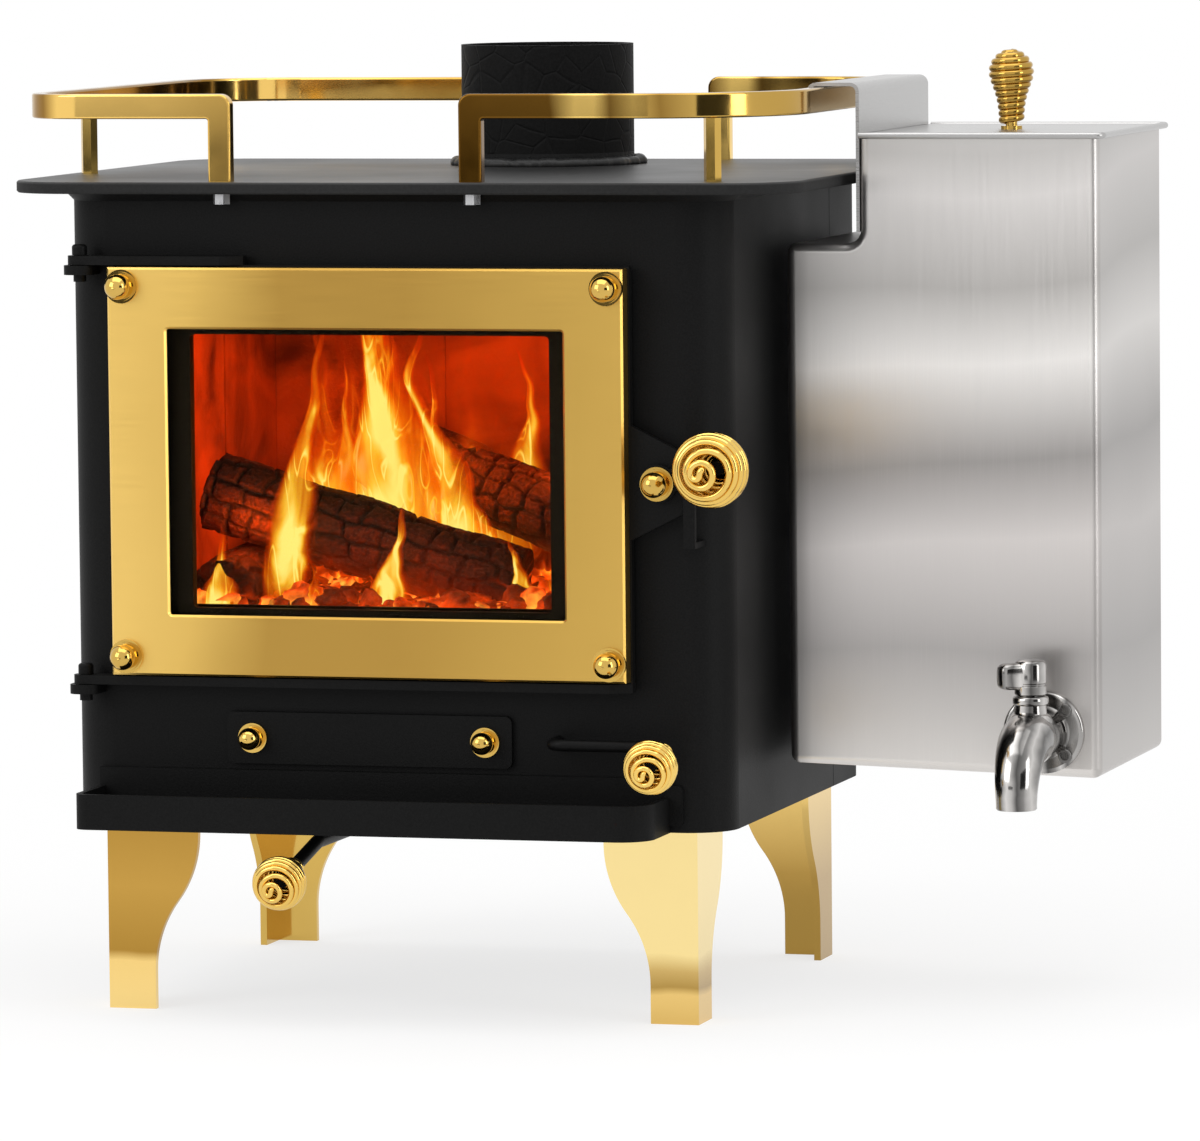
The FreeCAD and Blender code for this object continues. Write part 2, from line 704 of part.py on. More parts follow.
def base_plate():
    plate = body_block(SHELL_WALL + FIT_GAP, 0, BASE_THICKNESS)
    low = V(0, 0, -OVERRUN)
    high = V(0, 0, BASE_THICKNESS + OVERRUN)
    holes = [rod(p + low, p + high, LEG_BOLT / 2 + RUNNING_GAP) for p in leg_bolt_points()]
    holes += [rod(p + low, p + high, AIR_HOLE / 2) for p in air_hole_points()]
    holes += slot_boxes(-OVERRUN, BASE_THICKNESS + OVERRUN)
    return plate.cut(holes)


# Cooktop, flue and rails
def cooktop_plate():
    plate = slab_xy(PLATE_LEFT, PLATE_RIGHT, PLATE_FRONT, PLATE_REAR, BODY_HEIGHT, PLATE_TOP,
                    [PLATE_CORNER] * 4)
    rims = [e for e in plate.Edges if e.BoundBox.ZLength < PLATE_THICKNESS / 2]
    plate = plate.makeChamfer(PLATE_EDGE, rims)
    low = BODY_HEIGHT - OVERRUN
    high = PLATE_TOP + OVERRUN
    holes = [rod(V(FLUE_X, FLUE_Y, low), V(FLUE_X, FLUE_Y, high), FLUE_DIAMETER / 2 + FIT_GAP)]
    for point in rail_screw_points():
        holes.append(rod(V(point.x, point.y, low), V(point.x, point.y, high), RAIL_SCREW / 2 + FIT_GAP))
    return plate.cut(holes)


def flue_collar():
    outer = FLUE_DIAMETER / 2
    inner = outer - FLUE_WALL
    top = PLATE_TOP + FLUE_HEIGHT
    line = [V(inner, 0, BODY_HEIGHT), V(outer, 0, BODY_HEIGHT), V(outer, 0, PLATE_TOP),
            V(outer + FLUE_WELD, 0, PLATE_TOP), V(outer, 0, PLATE_TOP + FLUE_WELD), V(outer, 0, top),
            V(inner, 0, top), V(inner, 0, BODY_HEIGHT)]
    ring = Part.Face(Part.makePolygon(line)).revolve(V(0, 0, 0), V(0, 0, 1), 360)
    ring.translate(V(FLUE_X, FLUE_Y, 0))
    return ring


def rail_ring(front_corner, rear_corner):
    """A bar bent round the whole cooktop, before it is cut to one side."""
    radii = [front_corner, front_corner, rear_corner, rear_corner]
    inner_radii = [r - RAIL_THICKNESS for r in radii]
    outer = slab_xy(RAIL_LEFT, RAIL_RIGHT, RAIL_FRONT, RAIL_REAR, RAIL_LOW_Z, RAIL_TOP_Z, radii)
    t = RAIL_THICKNESS
    inner = slab_xy(RAIL_LEFT + t, RAIL_RIGHT - t, RAIL_FRONT + t, RAIL_REAR - t,
                    RAIL_LOW_Z - OVERRUN, RAIL_TOP_Z + OVERRUN, inner_radii)
    return outer.cut(inner)


def rail_leg(x, y0, outward):
    """The end of a rail, bent down to the cooktop; outward is the side its bar ends on."""
    free = x + outward * RAIL_LEG / 2
    held = x - outward * RAIL_LEG / 2
    points = [V(held, y0, PLATE_TOP), V(free, y0, PLATE_TOP),
              V(free, y0, RAIL_TOP_Z), V(held, y0, RAIL_TOP_Z)]
    leg = prism(points, [0, 0, RAIL_BEND, 0], V(0, RAIL_THICKNESS, 0))
    foot = V(x, y0 + RAIL_THICKNESS / 2, PLATE_TOP)
    return leg.cut(rod(foot - V(0, 0, OVERRUN), foot + V(0, 0, RAIL_SCREW_GRIP + OVERRUN),
                       RAIL_SCREW / 2 + RUNNING_GAP))


def rail(front_x, rear_x, front_corner, rear_corner, outward):
    ring = rail_ring(front_corner, rear_corner)
    middle = (RAIL_FRONT + RAIL_REAR) / 2
    far = PLATE_LEFT if outward > 0 else PLATE_RIGHT
    kept = []
    for x, y0, y1 in ((front_x, PLATE_FRONT, middle), (rear_x, middle, PLATE_REAR)):
        end = x - outward * RAIL_LEG / 2
        kept.append(box(min(end, far), max(end, far), y0, y1, RAIL_LOW_Z - OVERRUN, RAIL_TOP_Z + OVERRUN))
    bar = ring.common(kept[0].fuse(kept[1]))
    legs = [rail_leg(front_x, RAIL_FRONT, outward), rail_leg(rear_x, RAIL_REAR - RAIL_THICKNESS, outward)]
    whole = bar.fuse(legs).removeSplitter()
    rims = [e for e in whole.Edges if e.BoundBox.ZMax > PLATE_TOP + RAIL_SCREW_GRIP + 2 * OVERRUN]
    return whole.makeFillet(RAIL_EDGE, rims)


def left_rail():
    return rail(LEFT_RAIL_FRONT_X, LEFT_RAIL_REAR_X, LEFT_RAIL_FRONT_CORNER, LEFT_RAIL_REAR_CORNER, 1)


def right_rail():
    return rail(RIGHT_RAIL_FRONT_X, RIGHT_RAIL_REAR_X, RIGHT_RAIL_FRONT_CORNER, RIGHT_RAIL_REAR_CORNER, -1)


def post_points():
    """One post under the left rail's side, one under the right rail's front bend."""
    reach = RIGHT_RAIL_FRONT_CORNER - RAIL_THICKNESS / 2
    turn = math.radians(FRONT_POST_ANGLE)
    return [V(RAIL_LEFT + RAIL_THICKNESS / 2, LEFT_POST_Y, PLATE_TOP),
            V(RAIL_RIGHT - RIGHT_RAIL_FRONT_CORNER + reach * math.cos(turn),
              RAIL_FRONT + RIGHT_RAIL_FRONT_CORNER - reach * math.sin(turn), PLATE_TOP)]


def rail_screw_points():
    front = RAIL_FRONT + RAIL_THICKNESS / 2
    rear = RAIL_REAR - RAIL_THICKNESS / 2
    return [V(LEFT_RAIL_FRONT_X, front, PLATE_TOP), V(LEFT_RAIL_REAR_X, rear, PLATE_TOP),
            V(RIGHT_RAIL_FRONT_X, front, PLATE_TOP), V(RIGHT_RAIL_REAR_X, rear, PLATE_TOP)]


def rail_posts():
    return Part.makeCompound([hexagon(POST_FLATS, RAIL_LOW_Z - PLATE_TOP, point) for point in post_points()])


def rail_screws():
    screws = []
    for point in rail_screw_points():
        under = V(point.x, point.y, BODY_HEIGHT)
        head = hexagon(RAIL_SCREW_FLATS, RAIL_SCREW_HEAD, under - V(0, 0, RAIL_SCREW_HEAD))
        shank = rod(under, V(point.x, point.y, PLATE_TOP + RAIL_SCREW_GRIP), RAIL_SCREW / 2)
        screws.append(head.fuse(shank))
    return Part.makeCompound(screws)


# Ash shelf and legs
def ash_shelf():
    radii = [SHELF_LEFT_CORNER, SHELF_RIGHT_CORNER, 0, 0]
    inner_radii = [SHELF_LEFT_CORNER - SHELF_SHEET, SHELF_RIGHT_CORNER - SHELF_SHEET, 0, 0]
    t = SHELF_SHEET
    tray = slab_xy(SHELF_LEFT_X, SHELF_RIGHT_X, -SHELF_REACH, 0, 0, SHELF_LIP, radii)
    hollow = slab_xy(SHELF_LEFT_X + t, SHELF_RIGHT_X - t, -SHELF_REACH + t, -t,
                     t, SHELF_LIP + OVERRUN, inner_radii)
    back = box(SHELF_LEFT_X, SHELF_RIGHT_X, -t, 0, 0, SHELF_BACK)
    tab = slab_xz(SHELF_RIGHT_X - t, SHELF_RIGHT_X + SHELF_TAB_WIDTH, SHELF_TAB_LOW, SHELF_TAB_HIGH, -t, 0,
                  SHELF_TAB_CORNER)
    return tray.cut(hollow).fuse([back, tab]).removeSplitter()


def leg_profile(along, across, thickness):
    """One flange of a leg: straight at its corner, drawn in by an S curve to the foot."""
    top = LEG_TOP_WIDTH
    foot = LEG_FOOT_WIDTH
    high = -LEG_HEIGHT * LEG_CURVE_TOP_SHARE
    low = -LEG_HEIGHT * LEG_CURVE_FOOT_SHARE
    radius = ((high - low) ** 2 + (top - foot) ** 2) / (4 * (top - foot))
    sweep = math.asin((high - low) / 2 / radius) / 2

    def at(width, z):
        return along * width + V(0, 0, z)

    middle = at((top + foot) / 2, (high + low) / 2)
    side = radius * (1 - math.cos(sweep))
    drop = radius * math.sin(sweep)
    upper = Part.Arc(at(top, high), at(top - side, high - drop), middle)
    lower = Part.Arc(middle, at(foot + side, low + drop), at(foot, low))
    line = [at(foot, low), at(foot, -LEG_HEIGHT), at(0, -LEG_HEIGHT), at(0, 0), at(top, 0), at(top, high)]
    edges = [upper.toShape(), lower.toShape()]
    edges += [Part.LineSegment(a, b).toShape() for a, b in zip(line, line[1:])]
    return Part.Face(Part.Wire(edges)).extrude(across * thickness)


def leg(x, y, sx, sy):
    """Two flanges that meet at an outward corner, with a bolted tab on top."""
    into_x = V(sx, 0, 0)
    into_y = V(0, sy, 0)
    flanges = leg_profile(into_x, into_y, LEG_SHEET).fuse(leg_profile(into_y, into_x, LEG_SHEET))
    width = LEG_TOP_WIDTH
    corners = [V(0, 0, 0), into_x * width, into_x * width + into_y * width, into_y * width]
    tab = prism([c - V(0, 0, LEG_SHEET) for c in corners], [0, 0, LEG_TAB_CORNER, 0], V(0, 0, LEG_SHEET))
    whole = flanges.fuse(tab).removeSplitter()
    whole.translate(V(x, y, 0))
    for point in leg_bolt_points():
        if point.distanceToPoint(V(x, y, 0)) < width:
            whole = whole.cut(rod(point - V(0, 0, LEG_SHEET + OVERRUN), point + V(0, 0, OVERRUN),
                                  LEG_BOLT / 2 + RUNNING_GAP))
    return whole


def leg_bolts():
    bolts = []
    for point in leg_bolt_points():
        under = point - V(0, 0, LEG_SHEET)
        head = hexagon(LEG_BOLT_FLATS, LEG_BOLT_HEAD, under - V(0, 0, LEG_BOLT_HEAD))
        bolts.append(head.fuse(rod(under, point + V(0, 0, BASE_THICKNESS), LEG_BOLT / 2)))
    return Part.makeCompound(bolts)


# Door
def trim_nut_points(y):
    dx = TRIM_WIDTH / 2 - TRIM_NUT_INSET_X
    dz = TRIM_HEIGHT / 2 - TRIM_NUT_INSET_Z
    return [V(DOOR_X + sx * dx, y, DOOR_Z + sz * dz) for sx in (-1, 1) for sz in (-1, 1)]


def door_frame():
    """Steel frame with the latch tab at its right and studs for the trim."""
    frame = slab_xz(FRAME_LEFT, FRAME_RIGHT, FRAME_BOTTOM, FRAME_TOP, FRAME_FRONT_Y, FRAME_BACK_Y)
    y = FRAME_FRONT_Y
    tip = FRAME_RIGHT + TAB_REACH
    tab = [V(FRAME_RIGHT, y, LATCH_Z - TAB_ROOT / 2), V(tip, y, LATCH_Z - TAB_TIP / 2),
           V(tip, y, LATCH_Z + TAB_TIP / 2), V(FRAME_RIGHT, y, LATCH_Z + TAB_ROOT / 2)]
    frame = frame.fuse(prism(tab, [0] * len(tab), V(0, FRAME_THICKNESS, 0))).removeSplitter()
    frame = frame.cut(slab_xz(DOOR_X - OPENING_WIDTH / 2, DOOR_X + OPENING_WIDTH / 2,
                              DOOR_Z - OPENING_HEIGHT / 2, DOOR_Z + OPENING_HEIGHT / 2,
                              FRAME_FRONT_Y - OVERRUN, FRAME_BACK_Y + OVERRUN, SHELL_OPENING_LAP))
    frame = frame.cut(rod(V(LATCH_X, y - OVERRUN, LATCH_Z), V(LATCH_X, FRAME_BACK_Y + OVERRUN, LATCH_Z),
                          LATCH_BOLT / 2 + RUNNING_GAP))
    for point in trim_nut_points(FRAME_FRONT_Y):
        frame = frame.fuse(rod(point, point + V(0, -stud_length(TRIM_DEPTH), 0), STUD / 2))
    return frame


def door_trim():
    """Folded pan of brass sheet with bevelled edges and a window."""
    x0 = DOOR_X - TRIM_WIDTH / 2
    x1 = DOOR_X + TRIM_WIDTH / 2
    z0 = DOOR_Z - TRIM_HEIGHT / 2
    z1 = DOOR_Z + TRIM_HEIGHT / 2
    t = TRIM_SHEET
    pan = slab_xz(x0, x1, z0, z1, TRIM_FRONT_Y, FRAME_FRONT_Y)
    pan = pan.cut(slab_xz(DOOR_X - WINDOW_WIDTH / 2, DOOR_X + WINDOW_WIDTH / 2,
                          DOOR_Z - WINDOW_HEIGHT / 2, DOOR_Z + WINDOW_HEIGHT / 2,
                          TRIM_FRONT_Y - OVERRUN, FRAME_FRONT_Y + OVERRUN, WINDOW_CORNER))
    rims = [e for e in pan.Edges if e.BoundBox.YMax < TRIM_FRONT_Y + t / 2]
    pan = pan.makeChamfer(TRIM_BEVEL, rims)
    pan = pan.cut(slab_xz(x0 + t, x1 - t, z0 + t, z1 - t, TRIM_FRONT_Y + t, FRAME_FRONT_Y + OVERRUN))
    holes = [rod(p, p + V(0, t + 2 * OVERRUN, 0), STUD / 2 + STUD_CLEARANCE)
             for p in trim_nut_points(TRIM_FRONT_Y - OVERRUN)]
    return pan.cut(holes)


def trim_nuts():
    return Part.makeCompound([aimed(ball_nut(), p, V(0, -1, 0)) for p in trim_nut_points(TRIM_FRONT_Y)])


def glass_size():
    return WINDOW_WIDTH + 2 * GLASS_LAP, WINDOW_HEIGHT + 2 * GLASS_LAP


def door_glass():
    width, height = glass_size()
    back = FRAME_FRONT_Y - GLASS_SEAL
    return slab_xz(DOOR_X - width / 2, DOOR_X + width / 2, DOOR_Z - height / 2, DOOR_Z + height / 2,
                   back - GLASS_THICKNESS, back, WINDOW_CORNER)


def glass_gasket():
    width, height = glass_size()
    rim = GLASS_SEAL_WIDTH
    return window_ring(DOOR_X, DOOR_Z, width - 2 * rim, height - 2 * rim, rim, rim,
                       FRAME_FRONT_Y - GLASS_SEAL, FRAME_FRONT_Y)


def glass_retainer():
    width, height = glass_size()
    rim = GLASS_SEAL_WIDTH
    return window_ring(DOOR_X, DOOR_Z, width - 2 * rim, height - 2 * rim, rim, rim,
                       TRIM_FRONT_Y + TRIM_SHEET, FRAME_FRONT_Y - GLASS_SEAL - GLASS_THICKNESS)


def door_gasket():
    inner_width = OPENING_WIDTH + 2 * ROPE_FROM_OPENING
    inner_height = OPENING_HEIGHT + 2 * ROPE_FROM_OPENING
    return window_ring(DOOR_X, DOOR_Z, inner_width, inner_height, ROPE_WIDTH, ROPE_WIDTH,
                       FRAME_BACK_Y, -SEAT_GAP, ROPE_WIDTH)


def strap(z0, length):
    """A flat strap round the hinge pin, with its free corner taken off."""
    half = HINGE_STRAP_DEPTH / 2
    end = HINGE_X + length
    front = HINGE_Y - half
    back = HINGE_Y + half
    points = [V(HINGE_X - half, front, z0), V(end - STRAP_CHAMFER_LONG, front, z0),
              V(end, front + STRAP_CHAMFER_SHORT, z0), V(end, back, z0), V(HINGE_X - half, back, z0)]
    plate = prism(points, [half * ROUND_END_SHARE, 0, 0, 0, half * ROUND_END_SHARE], V(0, 0, HINGE_STRAP))
    return plate.cut(rod(V(HINGE_X, HINGE_Y, z0 - OVERRUN), V(HINGE_X, HINGE_Y, z0 + HINGE_STRAP + OVERRUN),
                         HINGE_PIN / 2 + RUNNING_GAP))


def upper_strap():
    return strap(FRAME_TOP, UPPER_STRAP_LENGTH)


def lower_strap():
    return strap(FRAME_BOTTOM - HINGE_STRAP, FRAME_RIGHT - HINGE_X)


def strap_bases():
    return [FRAME_TOP, FRAME_BOTTOM - HINGE_STRAP]


def hinge_lugs():
    half = HINGE_LUG_WIDTH / 2
    front = HINGE_Y - half
    lugs = []
    for z in strap_bases():
        low = z - SEAT_GAP - HINGE_LUG
        points = [V(HINGE_X - half, front, low), V(HINGE_X + half, front, low),
                  V(HINGE_X + half, BODY_CORNER, low), V(HINGE_X - half, BODY_CORNER, low)]
        lug = prism(points, [half * SOFT_END_SHARE, half * SOFT_END_SHARE, 0, 0], V(0, 0, HINGE_LUG))
        lug = lug.cut(rod(V(HINGE_X, HINGE_Y, low - OVERRUN), V(HINGE_X, HINGE_Y, low + HINGE_LUG + OVERRUN),
                          HINGE_PIN / 2 + RUNNING_GAP))
        lugs.append(lug.cut(body_block(0, 0, BODY_HEIGHT)))
    return Part.makeCompound(lugs)


def hinge_pins():
    pins = []
    for z in strap_bases():
        low = V(HINGE_X, HINGE_Y, z - SEAT_GAP - HINGE_LUG - HINGE_PIN_TAIL)
        head = V(HINGE_X, HINGE_Y, z + HINGE_STRAP + SEAT_GAP)
        dome = Part.makeCylinder(HINGE_PIN_HEAD / 2, HINGE_PIN_HEAD_HEIGHT, head)
        crown = [e for e in dome.Edges if e.BoundBox.ZMin > head.z + HINGE_PIN_HEAD_HEIGHT / 2]
        dome = dome.makeFillet(HINGE_PIN_CROWN, crown)
        pins.append(rod(low, head, HINGE_PIN / 2).fuse(dome))
    return Part.makeCompound(pins)


# Latch
def latch_bolt():
    """Shouldered bolt through the tab; its ball nut holds the lever."""
    back = V(LATCH_X, FRAME_BACK_Y, LATCH_Z)
    tip = back + V(0, -FRAME_THICKNESS - SEAT_GAP - LEVER_THICKNESS - LATCH_NUT_GAP, 0)
    shoulder = rod(back, tip, LATCH_BOLT / 2)
    return shoulder.fuse(rod(tip, tip + V(0, -stud_length(0), 0), STUD / 2))


def latch_nut():
    seat = V(LATCH_X, LEVER_FRONT_Y - LATCH_NUT_GAP, LATCH_Z)
    return aimed(ball_nut(), seat, V(0, -1, 0))


def lever_end():
    turn = math.radians(LEVER_REST_ANGLE)
    return V(LATCH_X + LEVER_LENGTH * math.cos(turn), LEVER_FRONT_Y, LATCH_Z + LEVER_LENGTH * math.sin(turn))


def latch_lever():
    """Lever with a round boss on the bolt and a stud that carries the handle."""
    pivot = V(LATCH_X, LEVER_BACK_Y, LATCH_Z)
    boss = rod(pivot, pivot - V(0, LEVER_THICKNESS, 0), LEVER_BOSS)
    half = LEVER_WIDTH / 2
    arm = slab_xz(0, LEVER_LENGTH + half, -half, half, LEVER_FRONT_Y, LEVER_BACK_Y, half * SOFT_END_SHARE)
    arm.rotate(V(0, 0, 0), V(0, 1, 0), -LEVER_REST_ANGLE)
    arm.translate(V(LATCH_X, 0, LATCH_Z))
    end = lever_end()
    stud = rod(end, end - V(0, DOOR_COIL_STUD_LENGTH, 0), DOOR_COIL_STUD / 2)
    lever = boss.fuse([arm, stud]).removeSplitter()
    return lever.cut(rod(pivot + V(0, OVERRUN, 0), pivot - V(0, LEVER_THICKNESS + OVERRUN, 0),
                         LATCH_BOLT / 2 + RUNNING_GAP))


def door_handle_coil():
    form = coil("door_handle_coil", DOOR_COIL_WIRE, DOOR_COIL_PITCH, DOOR_COIL_NECK_TURN_COUNT,
                DOOR_COIL_STUD, DOOR_COIL_FILLET, DOOR_COIL_BALL, DOOR_COIL_TIP)
    return aimed(form, lever_end(), V(0, -1, 0)).fuse([])


def keeper_x():
    return FRAME_RIGHT + TAB_REACH + KEEPER_FROM_TAB


def latch_keeper():
    """A hooked plate on the body, open at its top, that the lever drops behind."""
    x0 = keeper_x()
    turn = math.radians(LEVER_REST_ANGLE)
    lever_low = LATCH_Z + (x0 - LATCH_X) * math.tan(turn) - LEVER_WIDTH / 2 / math.cos(turn)
    top = lever_low - KEEPER_BELOW_LEVER
    face = LEVER_FRONT_Y - KEEPER_GAP
    bottom = top - KEEPER_HEIGHT
    floor = bottom + KEEPER_SHEET
    root = BODY_CORNER
    outline = [V(x0, root, bottom), V(x0, face - KEEPER_SHEET, bottom), V(x0, face - KEEPER_SHEET, top),
               V(x0, face, top), V(x0, face, floor), V(x0, root, floor)]
    keeper = prism(outline, [0] * len(outline), V(KEEPER_WIDTH, 0, 0))
    return keeper.cut(body_block(0, 0, BODY_HEIGHT))


# Air controls
def cover_nut_points():
    dx = COVER_WIDTH / 2 - COVER_NUT_INSET
    return [V(COVER_X - dx, 0, COVER_Z), V(COVER_X + dx, 0, COVER_Z)]


def air_cover_plate():
    plate = slab_xz(COVER_X - COVER_WIDTH / 2, COVER_X + COVER_WIDTH / 2, COVER_Z - COVER_HEIGHT / 2,
                    COVER_Z + COVER_HEIGHT / 2, -COVER_THICKNESS, 0, COVER_CORNER)
    holes = [rod(p + V(0, OVERRUN, 0), p - V(0, COVER_THICKNESS + OVERRUN, 0), STUD / 2 + STUD_CLEARANCE)
             for p in cover_nut_points()]
    return plate.cut(holes)


def air_cover_nuts():
    seats = [p - V(0, COVER_THICKNESS, 0) for p in cover_nut_points()]
    return Part.makeCompound([aimed(ball_nut(COVER_NUT_SHARE), p, V(0, -1, 0)) for p in seats])


def droop_direction(angle):
    turn = math.radians(angle)
    return V(0, -math.cos(turn), -math.sin(turn))


def crank_elbow():
    return V(CRANK_X + CRANK_ARM, -CRANK_STAND, CRANK_Z)


def primary_crank():
    elbow = crank_elbow()
    points = [V(CRANK_X, CRANK_SHAFT, CRANK_Z), V(CRANK_X, -CRANK_STAND, CRANK_Z), elbow,
              elbow + droop_direction(HANDLE_DROOP) * (CRANK_BEND * 2 + CRANK_STUB)]
    return swept(points, [0, CRANK_BEND, CRANK_BEND, 0], CRANK_ROD / 2)


def small_coil(name, core):
    return coil(name, SMALL_COIL_WIRE, SMALL_COIL_PITCH, SMALL_COIL_NECK_TURN_COUNT, core, SMALL_COIL_FILLET,
                SMALL_COIL_BALL, SMALL_COIL_TIP)


def primary_handle_coil():
    way = droop_direction(HANDLE_DROOP)
    seat = crank_elbow() + way * CRANK_BEND
    return aimed(small_coil("primary_handle_coil", CRANK_ROD), seat, way).fuse([])


def primary_flap():
    """A flap with a knuckle on the crank's shaft; it lies on the air box when shut."""
    y0 = FLAP_FROM_FRONT
    y1 = y0 + FLAP_WIDTH
    knuckle = CRANK_ROD / 2 + FLAP_KNUCKLE_WALL
    low = CRANK_Z - knuckle
    tube = rod(V(CRANK_X, y0, CRANK_Z), V(CRANK_X, y1, CRANK_Z), knuckle)
    blade = box(CRANK_X, CRANK_X + FLAP_LENGTH, y0, y1, low, low + FLAP_SHEET)
    bore = rod(V(CRANK_X, y0 - OVERRUN, CRANK_Z), V(CRANK_X, y1 + OVERRUN, CRANK_Z),
               CRANK_ROD / 2 + RUNNING_GAP)
    return tube.fuse(blade).removeSplitter().cut(bore)


def air_box():
    """Sheet box on the base with a seat for the flap round its opening."""
    x0 = CRANK_X - AIR_BOX_MARGIN
    x1 = CRANK_X + FLAP_LENGTH + AIR_BOX_MARGIN
    y0 = FLAP_FROM_FRONT - AIR_BOX_MARGIN
    y1 = FLAP_FROM_FRONT + FLAP_WIDTH + AIR_BOX_MARGIN
    t = AIR_BOX_SHEET
    walls = box(x0, x1, y0, y1, BASE_THICKNESS, AIR_BOX_TOP)
    walls = walls.cut(box(x0 + t, x1 - t, y0 + t, y1 - t, BASE_THICKNESS - OVERRUN, AIR_BOX_TOP - t))
    seat = AIR_BOX_SEAT
    return walls.cut(box(CRANK_X + 2 * seat, CRANK_X + FLAP_LENGTH - seat, FLAP_FROM_FRONT + seat,
                         FLAP_FROM_FRONT + FLAP_WIDTH - seat, AIR_BOX_TOP - 2 * t, AIR_BOX_TOP + OVERRUN))


def damper_knee():
    return V(DAMPER_X, DAMPER_ROD_KNEE_Y, -DAMPER_ROD_DROP)


def damper_lug_y():
    return DAMPER_FRONT_Y + DAMPER_LENGTH / 2


def secondary_rod():
    knee = damper_knee()
    reach = DAMPER_STUB + SMALL_COIL_NECK_TURN_COUNT * SMALL_COIL_PITCH
    points = [V(DAMPER_X, damper_lug_y() + DAMPER_LUG, knee.z), knee,
              knee + droop_direction(HANDLE_DROOP) * reach]
    return swept(points, [0, DAMPER_ROD_BEND, 0], DAMPER_ROD / 2)


def secondary_handle_coil():
    way = droop_direction(HANDLE_DROOP)
    seat = damper_knee() + way * (DAMPER_STUB - SMALL_COIL_BALL)
    return aimed(small_coil("secondary_handle_coil", DAMPER_ROD), seat, way).fuse([])


def secondary_damper():
    """Sliding plate under the base, with a lug that takes the rod."""
    half = DAMPER_WIDTH / 2
    low = DAMPER_TOP_Z - DAMPER_SHEET
    rear = DAMPER_FRONT_Y + DAMPER_LENGTH
    plate = box(DAMPER_X - half, DAMPER_X + half, DAMPER_FRONT_Y, rear, low, DAMPER_TOP_Z)
    y0 = damper_lug_y()
    reach = DAMPER_LUG_WIDTH / 2
    lug = box(DAMPER_X - reach, DAMPER_X + reach, y0, y0 + DAMPER_LUG, -DAMPER_ROD_DROP - reach, low)
    axis = V(DAMPER_X, y0, -DAMPER_ROD_DROP)
    bore = rod(axis - V(0, OVERRUN, 0), axis + V(0, DAMPER_LUG + OVERRUN, 0), DAMPER_ROD / 2 + RUNNING_GAP)
    return plate.fuse(lug).removeSplitter().cut(bore)


def damper_guides():
    """Two folded strips that carry the damper along its sides."""
    t = GUIDE_SHEET
    outer = DAMPER_WIDTH / 2 + FIT_GAP
    low = DAMPER_TOP_Z - DAMPER_SHEET - SEAT_GAP - t
    y0 = DAMPER_FRONT_Y - DAMPER_TRAVEL
    y1 = DAMPER_FRONT_Y + DAMPER_LENGTH + FIT_GAP
    strips = []
    for side in (-1, 1):
        wall = sorted((DAMPER_X + side * outer, DAMPER_X + side * (outer + t)))
        lip = sorted((DAMPER_X + side * (outer + t), DAMPER_X + side * (outer - GUIDE_LIP)))
        strips.append(box(wall[0], wall[1], y0, y1, low, 0).fuse(box(lip[0], lip[1], y0, y1, low, low + t))
                      .removeSplitter())
    return Part.makeCompound(strips)


# Firebox lining and fuel
def floor_plate():
    return body_block(SHELL_WALL + FIT_GAP, FLOOR_Z, BRICK_BASE_Z)


def brick_joints(brick, x, depth_sign):
    """Upright joints in the face of a side lining."""
    step = CHAMBER_BACK / (BRICK_JOINT_COUNT + 1)
    for k in range(BRICK_JOINT_COUNT):
        y = step * (k + 1)
        edge = sorted((x - depth_sign * OVERRUN, x + depth_sign * BRICK_JOINT_DEPTH))
        brick = brick.cut(box(edge[0], edge[1], y - BRICK_JOINT / 2, y + BRICK_JOINT / 2,
                              BRICK_BASE_Z - OVERRUN, BRICK_BASE_Z + BRICK_HEIGHT + OVERRUN))
    return brick


def side_bricks():
    lining = body_block(SHELL_WALL + FIT_GAP, BRICK_BASE_Z, BRICK_BASE_Z + BRICK_HEIGHT)
    half = BODY_WIDTH / 2
    bricks = []
    for side in (-1, 1):
        x = sorted((side * CHAMBER_HALF, side * half))
        brick = lining.common(box(x[0], x[1], 0, BODY_DEPTH, BRICK_BASE_Z, BRICK_BASE_Z + BRICK_HEIGHT))
        bricks.append(brick_joints(brick, side * CHAMBER_HALF, side))
    return Part.makeCompound(bricks)


def rear_brick():
    half = CHAMBER_HALF - FIT_GAP
    top = BRICK_BASE_Z + BRICK_HEIGHT
    brick = box(-half, half, CHAMBER_BACK, CHAMBER_BACK + BRICK_SIDE, BRICK_BASE_Z, top)
    step = 2 * half / (BRICK_JOINT_COUNT + 1)
    for k in range(BRICK_JOINT_COUNT):
        x = -half + step * (k + 1)
        brick = brick.cut(box(x - BRICK_JOINT / 2, x + BRICK_JOINT / 2, CHAMBER_BACK - OVERRUN,
                              CHAMBER_BACK + BRICK_JOINT_DEPTH, BRICK_BASE_Z - OVERRUN, top + OVERRUN))
    return brick


def floor_brick():
    half = CHAMBER_HALF - FIT_GAP
    return box(-half, half, SHELL_WALL + FIT_GAP, CHAMBER_BACK - FIT_GAP, BRICK_BASE_Z, BED_Z)


def baffle_plate():
    half = BODY_WIDTH / 2
    low = BRICK_BASE_Z + BRICK_HEIGHT
    block = body_block(SHELL_WALL + FIT_GAP, low, low + BAFFLE_SHEET)
    return block.common(box(-half, half, BAFFLE_FROM_FRONT, BODY_DEPTH, low, low + BAFFLE_SHEET))


